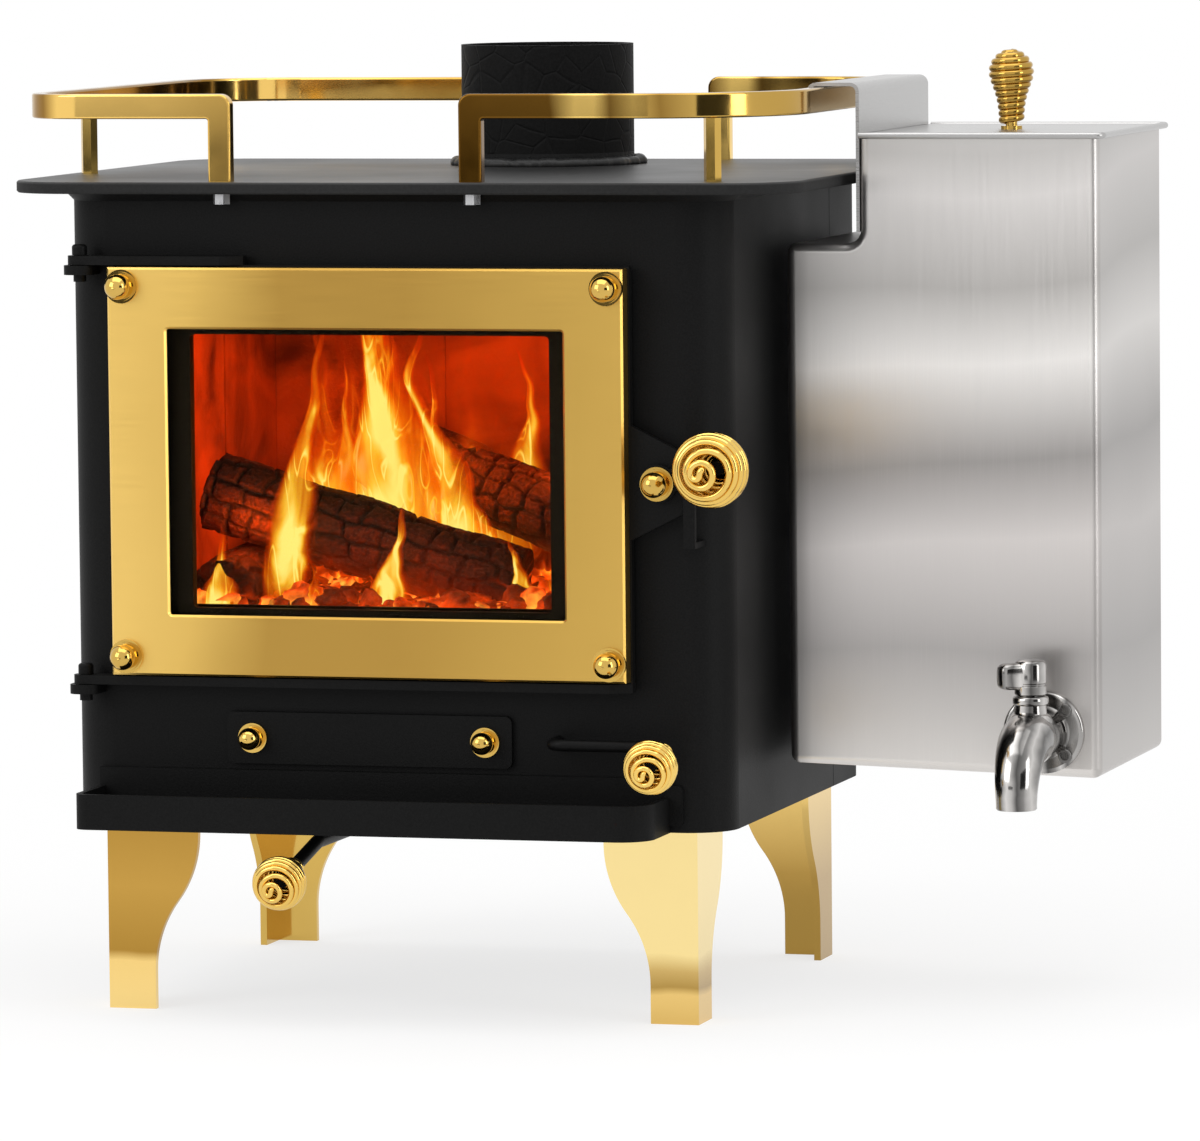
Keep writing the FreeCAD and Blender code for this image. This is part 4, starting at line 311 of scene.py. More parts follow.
def satin_trim():
    """Brass plate brushed along X, with a painted highlight at its hinge side and painted shade across its
    middle.
    """
    low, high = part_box("door_trim")
    paint = Paint("satin_brass", Metallic=1.0)
    fine = paint.noise(BRUSH_GRAIN, BRUSHED_X, detail=2)
    waver = paint.span(paint.noise(14, detail=2), -0.04, 0.04)
    along = paint.math("ADD", paint.axis("X", low.x, high.x), waver)
    # Painted highlight and painted shade along X
    paint.feed(paint.ramp(along, *TRIM_PAINTED_LIGHT), "Base Color")
    paint.feed(paint.span(fine, 0.28, 0.34), "Roughness")
    paint.bump(fine, 0.02, BRUSH_HEIGHT)
    return paint


def lid_sheet():
    """Plain brushed sheet for the flat pieces on top of the tank, darker than the tank's sheet: painted
    shade that holds back the top lamp's reflection on them.
    """
    paint = Paint("lid_sheet", Metallic=1.0)
    fine = paint.noise(BRUSH_GRAIN, BRUSHED_X, detail=2)
    # Painted shade: a darker copy of the brushed steel
    paint.mottle(fine, (0.40, 0.395, 0.39), (0.46, 0.455, 0.45))
    paint.feed(paint.span(fine, 0.26, 0.32), "Roughness")
    return paint


def stainless():
    """Sheet brushed upright, with broad soft bands of painted reflection and painted shade on its upright
    edges.
    """
    low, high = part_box("tank_shell")
    paint = Paint("stainless_sheet", Metallic=1.0, Anisotropic=0.6)
    around = paint.add("ShaderNodeTangent", direction_type="RADIAL", axis="Z")
    paint.feed(around.outputs["Tangent"], "Tangent")
    fine = paint.noise(BRUSH_GRAIN, BRUSHED_Z, detail=2)
    wave = paint.noise(5, (1, 1, 0.6), detail=1)
    height = paint.math("ADD", paint.axis("Z", low.z, high.z), paint.span(wave, -0.05, 0.05))
    # Painted reflections: broad bands by height
    bands = paint.ramp(height, *TANK_PAINTED_REFLECTIONS)
    streak = paint.ramp(fine, (0.3, (0.36, 0.35, 0.345)), (0.7, (0.62, 0.60, 0.59)))
    sheet = paint.blend(paint.span(fine, 0.0, 0.10), bands, streak)
    # Painted shade on the upright edges, mixed in towards a dark colour
    edge = paint.ramp(paint.axis("X", low.x, high.x), *TANK_EDGE_SHADE)
    shade = paint.ramp(fine, (0.3, (0.20, 0.19, 0.185)), (0.7, (0.26, 0.25, 0.24)))
    paint.feed(paint.blend(edge, sheet, shade), "Base Color")
    paint.feed(paint.span(fine, 0.28, 0.34), "Roughness")
    paint.bump(fine, 0.01, BRUSH_HEIGHT)
    paint.bump(wave, 0.2, WAVE_HEIGHT)
    return paint


def firebrick():
    """Red brick with clouds of soot."""
    paint = Paint("firebrick", Roughness=0.9)
    cloud = paint.noise(22, detail=5, distortion=0.7)
    paint.mottle(cloud, (0.06, 0.014, 0.002), (0.36, 0.098, 0.014), 0.32, 0.68)
    paint.bump(paint.noise(420, detail=5), 0.6, GRIT_HEIGHT)
    return paint


def rope():
    paint = Paint("glass_rope", Roughness=0.95)
    twist = paint.noise(500, detail=2)
    paint.mottle(twist, (0.05, 0.048, 0.044), (0.16, 0.15, 0.13))
    paint.bump(twist, 0.5, GRIT_HEIGHT)
    return paint


def glass():
    """Thin clear glass with a warm film of soot."""
    paint = Paint("clear_glass", Transmission_Weight=1.0, IOR=1.06, Specular_IOR_Level=0.2)
    soot = paint.noise(14, detail=4)
    paint.mottle(soot, (0.90, 0.77, 0.56), (0.98, 0.86, 0.66))
    paint.feed(paint.span(soot, 0.0, 0.015), "Roughness")
    return paint


def glowing(name, dark, light, hot, strength, grain):
    """Char with painted shade in its cracks, where it goes near black, and a glow where the mesh says that
    it is hot.
    """
    paint = Paint(name, Roughness=0.85)
    fine = paint.noise(grain, detail=4)
    glow = paint.value("glow")
    crust = paint.ramp(fine, (0.3, dark), (0.7, light))
    # Painted shade: near black in the cracks between the charred blocks
    soot = paint.ramp(fine, (0.3, (0.002, 0.001, 0.001)), (0.7, (0.004, 0.003, 0.002)))
    paint.feed(paint.blend(paint.value("crack"), crust, soot), "Base Color")
    tone = paint.ramp(glow, (0.0, (0.25, 0.01, 0.0)), (0.45, (0.9, 0.07, 0.003)), (1.0, hot))
    paint.feed(tone, "Emission Color")
    heat = paint.math("MULTIPLY", glow, paint.span(paint.noise(130), 0.25, 1.35))
    paint.feed(paint.math("MULTIPLY", heat, strength), "Emission Strength")
    paint.bump(fine, 0.7, CHAR_HEIGHT)
    return paint


def flame_light():
    """Burning gas: it shines, with bright threads, and hides little of what lies behind."""
    paint = Paint("flame_light", Roughness=1.0, Specular_IOR_Level=0.0, Emission_Strength=1.2)
    wisp = paint.noise(55, (1, 1, 0.3), detail=4, distortion=1.2)
    thread = paint.noise(85, (1, 1, 0.16), detail=1, distortion=1.6)
    near = paint.math("ABSOLUTE", paint.math("SUBTRACT", thread, 0.5))
    line = paint.span(near, 1.55, 1.0, 0.0, 0.035)
    soft = paint.math("MULTIPLY", paint.value("fire_heat"), paint.span(wisp, 0.55, 1.30))
    heat = paint.math("MULTIPLY", soft, line)
    paint.mottle(wisp, (0.0, 0.0, 0.0), (0.01, 0.002, 0.0))
    paint.feed(paint.ramp(heat, *FLAME_TONES), "Emission Color")
    paint.feed(paint.span(heat, 0.0, 0.92, 0.02, 0.80), "Alpha")
    return paint


def make_paints():
    """The paints of the metal, brick, rope and glass, by name."""
    paints = (
        black_paint("black_paint", shade=0.0045, rough=0.50, grain=1300, strength=0.22),
        black_paint("rod_paint", shade=0.004, rough=0.40, grain=900, strength=0.12),
        black_paint("weld_paint", shade=0.012, rough=0.42, grain=260, strength=0.5, gloss=0.30),
        plate_paint(),
        collar_paint(),
        satin_trim(),
        brass("polished_brass", (0.60, 0.38, 0.085), (0.72, 0.48, 0.125), rough=(0.07, 0.12)),
        brass("brass_wire", (0.76, 0.48, 0.105), (0.90, 0.62, 0.170), rough=(0.06, 0.10)),
        # Painted shade: the knob's brass is a darker copy of the wire's brass
        brass("knob_brass", (0.40, 0.235, 0.045), (0.54, 0.335, 0.075), rough=(0.06, 0.10)),
        # Rails, legs and tap: polished metal with painted reflections along their length
        metal_with_painted_reflections("left_rail_brass", "left_rail", "X", LEFT_RAIL_PAINTED_REFLECTIONS),
        metal_with_painted_reflections("right_rail_brass", "right_rail", "X", RIGHT_RAIL_PAINTED_REFLECTIONS),
        metal_with_painted_reflections("near_leg_brass", "leg_front_left", "Z", NEAR_LEG_PAINTED_REFLECTIONS),
        metal_with_painted_reflections("right_leg_brass", "leg_front_right", "Z", RIGHT_LEG_PAINTED_REFLECTIONS),
        metal_with_painted_reflections("far_leg_brass", "leg_rear_right", "Z", FAR_LEG_PAINTED_REFLECTIONS),
        metal_with_painted_reflections("polished_tap", "tap_body", "X", TAP_PAINTED_REFLECTIONS, grain=90, drift=0.02, rough=(0.10, 0.15)),
        plated_steel("plated_steel", (0.45, 0.45, 0.46), (0.62, 0.62, 0.63), rough=(0.25, 0.4)),
        plated_steel("dark_steel", (0.10, 0.097, 0.094), (0.16, 0.155, 0.15), rough=(0.22, 0.35)),
        stainless(),
        lid_sheet(),
        firebrick(),
        rope(),
        glass(),
    )
    return {paint.name: paint for paint in paints}


def paint_nodes(paints):
    """The firewood and the ember bed are left out, since new pieces stand for them."""
    for part in frame["record"]["subparts"]:
        paint = paints.get(NODE_PAINTS.get(part["node"], part["material_slot"]))
        if paint is None:
            continue
        mesh = nodes[part["node"]].data
        mesh.materials.clear()
        mesh.materials.append(paint.material)


# Shapes
MERGE = 1e-7
CREASE = math.radians(38)
ROUND = 2.0


def new_object(name, points, faces, paint, values=None, smooth=True, crease=None):
    mesh = bpy.data.meshes.new(name)
    mesh.from_pydata(points, [], faces)
    for key, numbers in (values or {}).items():
        layer = mesh.attributes.new(key, "FLOAT", "POINT")
        layer.data.foreach_set("value", numbers)
    form = bmesh.new()
    form.from_mesh(mesh)
    bmesh.ops.remove_doubles(form, verts=form.verts, dist=MERGE)
    form.to_mesh(mesh)
    form.free()
    if smooth:
        mesh.polygons.foreach_set("use_smooth", [True] * len(mesh.polygons))
    if crease:
        mesh.set_sharp_from_angle(angle=crease)
    mesh.materials.append(paint.material)
    made = bpy.data.objects.new(name, mesh)
    scene.collection.objects.link(made)
    return made


def handed(piece, body, node):
    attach(piece, body)
    if node:
        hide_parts(node)


def grid_faces(rows, columns, first, closed):
    faces = []
    for i in range(rows - 1):
        for j in range(columns if closed else columns - 1):
            k = (j + 1) % columns
            faces.append((first + i * columns + j, first + i * columns + k,
                          first + (i + 1) * columns + k, first + (i + 1) * columns + j))
    return faces


def skin(stations, side, sides, points, faces, squareness=ROUND, capped=True):
    """A skin over rings. Each ring: its middle, its direction, its half width and half height."""
    first = len(points)
    for middle, way, half, rise in stations:
        way = way.normalized()
        side = (side - way * side.dot(way)).normalized()
        up = way.cross(side)
        for j in range(sides):
            turn = 2 * math.pi * j / sides
            c, d = math.cos(turn), math.sin(turn)
            reach = 1
            if squareness != ROUND:
                reach = (abs(c) ** squareness + abs(d) ** squareness) ** (-1 / squareness)
            points.append(middle + side * (half * reach * c) + up * (rise * reach * d))
    faces.extend(grid_faces(len(stations), sides, first, True))
    last = len(points) - sides
    if capped:
        faces.append(tuple(range(first + sides - 1, first - 1, -1)))
        faces.append(tuple(range(last, last + sides)))


def turned(base, way, line):
    """Rings of a turned form: heights above its base with their radii."""
    return [(base + way * height, way, radius, radius) for height, radius in line]


# Handles, each wound from one wire on an outline: a neck, a ball, and a curl or a closed top
HANDLE_DROOP = math.radians(12)
DROOPING = Vector((0, -math.cos(HANDLE_DROOP), -math.sin(HANDLE_DROOP)))
# Node, body, paint, way, wire, pitch, inner radius of the neck, radius of the ball, rise of a closed top
COILS = (
    ("door_handle_coil", "latch", "brass_wire", FORWARD, 0.0030, 0.0031, 0.0033, 0.0160, 0.0),
    ("primary_handle_coil", "primary_air", "brass_wire", DROOPING, 0.0023, 0.0024, 0.0028, 0.0115, 0.0),
    ("secondary_handle_coil", "secondary_air", "brass_wire", DROOPING, 0.0023, 0.0024, 0.0033, 0.0115, 0.0),
    ("lid_knob_coil", "lid", "knob_brass", UPWARD, 0.0032, 0.0027, 0.0024, 0.0098, 0.0034),
)
OUTLINE_STEPS = 60
NECK_PULL = 0.62
WAIST_PULL = 0.62
CROWN_PULL = 0.55
TURN_STEPS = 44
WIRE_SIDES = 14
WIRE_END = (0.55, 0.82, 0.95, 1.0)
LEAST_LEAN = 0.01
# The curl on a ball: radii and places in shares of the ball's radius
OPENING = 0.70
LOOSE_START = 0.42
LOOSE_END = 0.29
LOOSE_DROP = 0.40
LOOSE_TURNS = 1.5
CURL_SHIFT = Vector((-0.055, -0.055))
HOOK_STEPS = TURN_STEPS // 3
HOOK_END = 0.6
# A closed top: the radius of its last turn in shares of half the wire, and where the wire starts
CLOSED_TIP = 0.35
CLOSED_START = math.radians(110)


def coil_line(neck, ball, tip, length):
    """Half outline of a wound handle, from its neck over the ball to the crown."""
    centre = length - ball
    waist = Vector((ball, centre, 0))
    line = interpolate_bezier(
        Vector((neck, 0, 0)), Vector((neck, centre * NECK_PULL, 0)),
        Vector((ball, centre - ball * WAIST_PULL, 0)), waist, OUTLINE_STEPS)
    line += interpolate_bezier(
        waist, Vector((ball, centre + ball * CROWN_PULL, 0)),
        Vector((ball * CROWN_PULL, length, 0)), Vector((0, length, 0)), OUTLINE_STEPS)[1:]
    return [point for i, point in enumerate(line) if i < OUTLINE_STEPS or point.x > tip]


def wound(line, pitch):
    """Points of a wire wound closely on the outline, in whole turns."""
    runs = [0.0]
    for a, b in zip(line, line[1:]):
        runs.append(runs[-1] + (b - a).length)
    steps = math.floor(runs[-1] / pitch) * TURN_STEPS
    path = []
    for i in range(steps + 1):
        run = runs[-1] * i / steps
        k = max(n for n in range(len(line) - 1) if runs[n] <= run)
        spot = line[k].lerp(line[k + 1], min(1.0, (run - runs[k]) / (runs[k + 1] - runs[k])))
        turn = 2 * math.pi * i / TURN_STEPS
        path.append(Vector((spot.x * math.cos(turn), spot.x * math.sin(turn), spot.y)))
    return path


def crown_curl(ball, centre):
    """The loose end of the wire on the front of the ball: a turn and a half inwards, then an S."""
    flat = []
    steps = round(LOOSE_TURNS * TURN_STEPS)
    for i in range(1, steps + 1):
        share = i / steps
        drop = min(1.0, share / LOOSE_DROP)
        drop = drop * drop * (3 - 2 * drop)
        rest = max(0.0, (share - LOOSE_DROP) / (1 - LOOSE_DROP))
        radius = OPENING + (LOOSE_START - OPENING) * drop + (LOOSE_END - LOOSE_START) * rest
        turn = 2 * math.pi * LOOSE_TURNS * share
        flat.append(CURL_SHIFT * drop + Vector((radius * math.cos(turn), radius * math.sin(turn))))
    out = flat[-1] - CURL_SHIFT
    around = Vector((-out.y, out.x))
    for i in range(1, HOOK_STEPS + 1):
        turn = math.pi * i / HOOK_STEPS
        flat.append(CURL_SHIFT + out * (0.5 + 0.5 * math.cos(turn)) + around * (0.5 * math.sin(turn)))
    for i in range(1, round(HOOK_STEPS * HOOK_END)):
        turn = math.pi * i / HOOK_STEPS
        flat.append(CURL_SHIFT + out * (0.5 * math.cos(turn) - 0.5) - around * (0.5 * math.sin(turn)))
    return [Vector((p.x * ball, p.y * ball, centre + ball * math.sqrt(1 - p.length_squared))) for p in flat]


def make_coil(node, body, paint, way, wire, pitch, neck, ball, rise):
    """A handle along its way, with an open curl or, where it has a rise, with a closed top."""
    low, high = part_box(node)
    half = wire / 2
    centre = (low + high) / 2
    for k in range(3):
        if abs(way[k]) > LEAST_LEAN:
            centre[k] = low[k] + ball if way[k] < 0 else high[k] - ball
    main = max(range(3), key=lambda k: abs(way[k]))
    back = high[main] if way[main] < 0 else low[main]
    lean = math.sqrt(max(0.0, 1 - way[main] ** 2))
    reach = (abs(back - centre[main]) - (neck + wire) * lean) / abs(way[main])
    foot = centre - way * (reach - half)
    inner = ball - half
    tip = CLOSED_TIP * half if rise else OPENING * inner
    path = wound(coil_line(neck + half, inner, tip, reach + rise + ball - wire), pitch)
    turn = UPWARD.rotation_difference(way).to_matrix()
    if rise:
        turn = turn @ Matrix.Rotation(CLOSED_START, 3, "Z")
    else:
        path += crown_curl(inner, reach - half)
    stations = []
    for i, spot in enumerate(path):
        ahead = path[min(i + 1, len(path) - 1)] - path[max(i - 1, 0)]
        size = half * WIRE_END[min(i, len(path) - 1 - i, len(WIRE_END) - 1)]
        stations.append((foot + turn @ spot, turn @ ahead, size, size))
    points, faces = [], []
    skin(stations, turn @ ACROSS, WIRE_SIDES, points, faces)
    handed(new_object(node + "_wire", points, faces, paint), body, node)


def make_coils(paints):
    for node, body, paint, *sizes in COILS:
        make_coil(node, body, paints[paint], *sizes)


# Tap and weld. Lines are heights above the base of a turned form with its radii there.
TAP_FACE = Vector((0.2029, -0.022034, 0.119))
TAP_REACH = 0.026
ROSE_SIDES = 64
PIPE_SIDES = 48
LEVER_SIDES = 40
SCREW_SIDES = 24
ROSE_LINE = (
    (0.0, 0.0172), (0.0004, 0.0175), (0.0018, 0.0175), (0.0025, 0.0172), (0.0029, 0.0165), (0.0030, 0.0155),
)
SPOUT_LINE = (
    (0.0024, 0.0122), (0.0036, 0.0108), (0.0052, 0.0101), (0.0080, 0.0098),
    (0.0140, 0.0102), (0.0200, 0.0110), (0.0260, 0.0115), (0.0310, 0.0116),
)
SPOUT_BEND = 0.0210
SPOUT_BEND_AT = 0.0534
BEND_STEPS = 20
OUTLET_LINE = (
    (0.0003, 0.0088), (0.0040, 0.0086), (0.0055, 0.0086), (0.0060, 0.0082),
    (0.0060, 0.0064), (0.0057, 0.0060), (-0.0040, 0.0058),
)
STEM_LINE = (
    (0.0030, 0.0098), (0.0080, 0.0094), (0.0098, 0.0084), (0.0106, 0.0070), (0.0142, 0.0066),
    (0.0146, 0.0073), (0.0150, 0.0076), (0.0172, 0.0076), (0.0178, 0.0072), (0.0180, 0.0066),
)
CAP_BASE = 0.0183
CAP_LINE = (
    (0.0, 0.0060), (0.0006, 0.0067), (0.0012, 0.0068), (0.0040, 0.0068), (0.0044, 0.0064), (0.0050, 0.0064),
    (0.0054, 0.0068), (0.0130, 0.0068), (0.0141, 0.0064), (0.0148, 0.0055), (0.0150, 0.0040),
)
LEVER_ANGLE = math.radians(215)
LEVER_HEIGHT = 0.0083
LEVER_HALF = 0.0043
LEVER_RISE = 0.0056
LEVER_SQUARENESS = 4.0
# Runs out from the stem, with shares of the lever's half width and rise
LEVER_LINE = (
    (0.0020, 1.0), (0.0100, 1.0), (0.0118, 0.98), (0.0130, 0.91), (0.0138, 0.79), (0.0142, 0.62),
)
SCREWS = 4
SCREW_CIRCLE = 0.0136
SCREW_LINE = (
    (0.0, 0.0030), (0.0008, 0.0030), (0.0012, 0.0028), (0.0014, 0.0024), (0.0014, 0.0017), (0.0004, 0.0016),
)
WELD_RADIUS = 0.0406
WELD_HEIGHT = 0.0010
WELD_HALF = 0.0025
WELD_WIDER = 1.15
WELD_WANDER = 0.0010
WELD_WANDER_SCALE = 11
# Noise scales round the collar, with the share that each adds to the bead
WELD_SWELLS = ((5, 0.35), (24, 0.12))
WELD_STEPS = 360
WELD_SIDES = 16


def spout_rings():
    """The spout: out from the rose, round its bend, and into the bore of the outlet."""
    corner = TAP_FACE + FORWARD * (SPOUT_BEND_AT - SPOUT_BEND)
    start, end = SPOUT_LINE[-1][1], OUTLET_LINE[0][1]
    rings = turned(TAP_FACE, FORWARD, SPOUT_LINE)
    for i in range(BEND_STEPS + 1):
        angle = math.pi / 2 * i / BEND_STEPS
        way = FORWARD * math.cos(angle) - UPWARD * math.sin(angle)
        drop = UPWARD * (SPOUT_BEND * (1 - math.cos(angle)))
        spot = corner + FORWARD * (SPOUT_BEND * math.sin(angle)) - drop
        radius = start + (end - start) * i / BEND_STEPS
        rings.append((spot, way, radius, radius))
    return rings + turned(corner + FORWARD * SPOUT_BEND - UPWARD * SPOUT_BEND, -UPWARD, OUTLET_LINE)


def make_tap(paint, dark):
    """A small tap: rose with four screws, swelling spout, stem and lever."""
    points, faces = [], []
    skin(turned(TAP_FACE, FORWARD, ROSE_LINE), ACROSS, ROSE_SIDES, points, faces)
    skin(spout_rings(), ACROSS, PIPE_SIDES, points, faces)
    stem = TAP_FACE + FORWARD * TAP_REACH
    skin(turned(stem, UPWARD, STEM_LINE), ACROSS, PIPE_SIDES, points, faces)
    casting = new_object("tap_casting", points, faces, paint, crease=CREASE)
    handed(casting, "tank", "tap_body")

    points, faces = [], []
    base = stem + UPWARD * CAP_BASE
    skin(turned(base, UPWARD, CAP_LINE), ACROSS, PIPE_SIDES, points, faces)
    away = Vector((math.cos(LEVER_ANGLE), math.sin(LEVER_ANGLE), 0))
    root = base + UPWARD * LEVER_HEIGHT
    rings = [(root + away * run, away, LEVER_HALF * share, LEVER_RISE * share) for run, share in LEVER_LINE]
    skin(rings, UPWARD.cross(away), LEVER_SIDES, points, faces, LEVER_SQUARENESS)
    lever = new_object("tap_lever", points, faces, paint, crease=CREASE)
    handed(lever, "tap_valve", "tap_handle")

    points, faces = [], []
    for k in range(SCREWS):
        angle = math.pi * (2 * k + 1) / SCREWS
        out = Vector((math.cos(angle), 0, math.sin(angle)))
        spot = TAP_FACE + out * SCREW_CIRCLE + FORWARD * ROSE_LINE[-1][0]
        skin(turned(spot, FORWARD, SCREW_LINE), ACROSS, SCREW_SIDES, points, faces)
    heads = new_object("tap_screw_heads", points, faces, dark, crease=CREASE)
    handed(heads, "tank", "tap_screws")


def make_weld(paint):
    """The uneven bead of weld that runs round the foot of the flue collar."""
    low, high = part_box("flue_collar")
    foot = Vector(((low.x + high.x) / 2, (low.y + high.y) / 2, PLATE_TOP + WELD_HEIGHT))
    stations = []
    for i in range(WELD_STEPS + 1):
        turn = 2 * math.pi * (i % WELD_STEPS) / WELD_STEPS
        out = Vector((math.cos(turn), math.sin(turn), 0))
        swell = 1
        for scale, share in WELD_SWELLS:
            swell += share * noise.noise(out * scale)
        spot = foot + out * (WELD_RADIUS + WELD_WANDER * noise.noise(out * WELD_WANDER_SCALE))
        half = WELD_HALF * swell
        stations.append((spot, Vector((-out.y, out.x, 0)), half * WELD_WIDER, half))
    points, faces = [], []
    skin(stations, ACROSS, WELD_SIDES, points, faces, capped=False)
    handed(new_object("flue_weld", points, faces, paint), "stove", None)


# Logs
BED_LOW, BED_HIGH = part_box("ember_bed")
EMBER_TOP = BED_HIGH.z
LOG_RADIUS = 0.0172
# Each log: its two ends, and its share of the log radius
LOGS = (
    ((-0.1480, -0.0680, 0.1755), (-0.1460, 0.0120, 0.1830), 0.97),
    ((-0.1556, 0.0589, 0.1870), (-0.0344, 0.0589, 0.1870), 0.97),
    ((-0.1610, -0.0370, 0.2185), (-0.0240, -0.0370, 0.1785), 1.03),
    ((-0.0935, 0.0480, 0.2270), (0.0280, 0.0040, 0.1872), 1.0),
)
LOG_SEED = 3
LOG_COLUMNS = 110
LOG_STEP = 0.0009
LOG_LEAST_STEPS = 40
LOG_END_RINGS = (0.0, 0.55, 0.9)
LOG_FULLNESS = 0.95
LOG_BULGE = 0.09
LOG_GRAIN = 0.00035
LOG_END_RELIEF = 0.0015
LOG_NOISE_STEPS = (3.1, 1.7, 0.9)
# Noise scales of the bulge, the blocks' waver, the end relief, the grain and the hot patches
BULGE_SCALE = 28
WAVER_SCALE = 95
END_SCALE = 180
GRAIN_SCALE = 420
PATCH_SCALE = 45
BLOCK_WIDTH = 0.0098
BLOCK_LENGTHS = (0.009, 0.017)
BLOCK_OVERRUN = 0.01
BLOCK_WAVER = 0.35
BLOCK_SHIFT = 0.0022
CRACK_WIDTH = 0.0013
CRACK_DEPTH = 0.0024
# The glow: its reach above the embers, and its strength in seams and underneath
GLOW_REACH = 0.026
PATCH_LEAST = 0.12
SEAM_LEAST = 0.15
SEAM_PATCH = 1.6
UNDER_GLOW = 0.9
UNDER_LEAST = 0.35


def check_pattern(seed, length, girth):
    """Rows of charred blocks: for each row its blocks' ends along the log."""
    dice = random.Random(seed)
    rows = []
    for _ in range(round(girth / BLOCK_WIDTH)):
        ends = [-BLOCK_OVERRUN]
        while ends[-1] < length + BLOCK_OVERRUN:
            ends.append(ends[-1] + dice.uniform(*BLOCK_LENGTHS))
        rows.append(ends)
    return rows


def crack_depth(rows, along, turn_share, wobble):
    """How near a point is to a crack between blocks, from 0 to 1."""
    place = (turn_share * len(rows) + BLOCK_WAVER * wobble) % len(rows)
    row = rows[int(place) % len(rows)]
    across = min(place % 1, 1 - place % 1) * BLOCK_WIDTH
    shifted = along + BLOCK_SHIFT * wobble
    ends = min(abs(shifted - end) for end in row)
    return max(0.0, 1 - min(across, ends) / CRACK_WIDTH)


def log_mesh(start, end, radius, seed, points, faces, glow, cracks):
    """A closed log of charred blocks, hot in its cracks and on its underside near the embers."""
    start = Vector(start)
    axis = Vector(end) - start
    length = axis.length
    axis.normalize()
    side = axis.cross(UPWARD).normalized()
    up = side.cross(axis)
    rows = check_pattern(seed, length, 2 * math.pi * radius)
    steps = max(LOG_LEAST_STEPS, round(length / LOG_STEP))
    first = len(points)
    shift = Vector([seed * step for step in LOG_NOISE_STEPS])
    rings = [(0.0, reach) for reach in LOG_END_RINGS]
    rings += [(i / steps, 1.0) for i in range(steps + 1)]
    rings += [(1.0, reach) for reach in reversed(LOG_END_RINGS)]
    for share, reach in rings:
        place = start + axis * (share * length)
        for j in range(LOG_COLUMNS):
            turn = 2 * math.pi * j / LOG_COLUMNS
            outward = side * math.cos(turn) + up * math.sin(turn)
            sample = place + outward * (radius * reach) + shift
            bulge = LOG_FULLNESS + LOG_BULGE * noise.noise(sample * BULGE_SCALE)
            grain = LOG_GRAIN * noise.noise(sample * GRAIN_SCALE)
            waver = noise.noise(sample * WAVER_SCALE)
            crack = crack_depth(rows, share * length, j / LOG_COLUMNS, waver)
            size = radius * bulge + grain - CRACK_DEPTH * crack
            spot = place + outward * (size * reach)
            if reach < 1:
                spot += axis * (LOG_END_RELIEF * noise.noise(sample * END_SCALE))
            points.append(spot)
            low = max(0.0, 1 - (spot.z - EMBER_TOP) / GLOW_REACH)
            patch = max(0.0, noise.noise((spot + shift) * PATCH_SCALE) + PATCH_LEAST)
            under = max(0.0, -outward.z)
            seam = crack * low * (SEAM_LEAST + patch * SEAM_PATCH)
            glow.append(min(1.0, seam + UNDER_GLOW * under * low * (UNDER_LEAST + patch)))
            cracks.append(crack)
    faces.extend(face[::-1] for face in grid_faces(len(rings), LOG_COLUMNS, first, True))


def make_logs():
    dark, light, hot = (0.007, 0.0019, 0.0007), (0.062, 0.0135, 0.0038), (1.0, 0.30, 0.02)
    paint = glowing("charred_wood", dark, light, hot, strength=2.3, grain=600)
    points, faces, glow, cracks = [], [], [], []
    for index, (start, end, share) in enumerate(LOGS):
        log_mesh(start, end, LOG_RADIUS * share, index + LOG_SEED, points, faces, glow, cracks)
    logs = new_object("burning_logs", points, faces, paint, {"glow": glow, "crack": cracks})
    handed(logs, "stove", "firewood")


# Embers
EMBER_SEED = 11
LUMPS = 300
LUMP_SIZES = (0.0035, 0.0085)
LUMP_ROWS = 7
LUMP_COLUMNS = 10
LUMP_SIDE_INSET = 0.014
LUMP_FRONT_INSET = 0.012
LUMP_ENDS_INSET = 0.026
LUMP_SINK = 0.002
LUMP_LIFT = (0.0, 0.7)
# Above 1, it crowds the lumps towards the door
LUMP_CROWDING = 1.5
LUMP_STRETCH = ((0.8, 1.5), (0.8, 1.3), (0.6, 1.0))
LUMP_FULLNESS = 0.8
LUMP_BREAKAGE = 0.5
LUMP_SCALE = 1.6
# The warmth of lumps: its limits, and what a lump's underside and noise add to it
LUMP_HEAT = (0.1, 1.1)
WARM_LEAST = 0.35
WARM_UNDER = 0.9
WARM_PATCH = 0.5
WARM_SCALE = 3
NOISE_SPREAD = 50
HEAP_ROWS = 48
HEAP_COLUMNS = 60
HEAP_INSET = 0.004
HEAP_SINK = 0.003
HEAP_RELIEF = 0.003
HEAP_RIM = 0.016
HEAP_SLOPE = 0.75
HEAP_LEAST = 0.0005
HEAP_SCALE = 60
HEAP_LAYER = 1.3
HEAP_GLOW = 0.55
HEAP_GLOW_DRIFT = 0.45
HEAP_GLOW_SCALE = 45
HEAP_GLOW_LAYER = 7.1


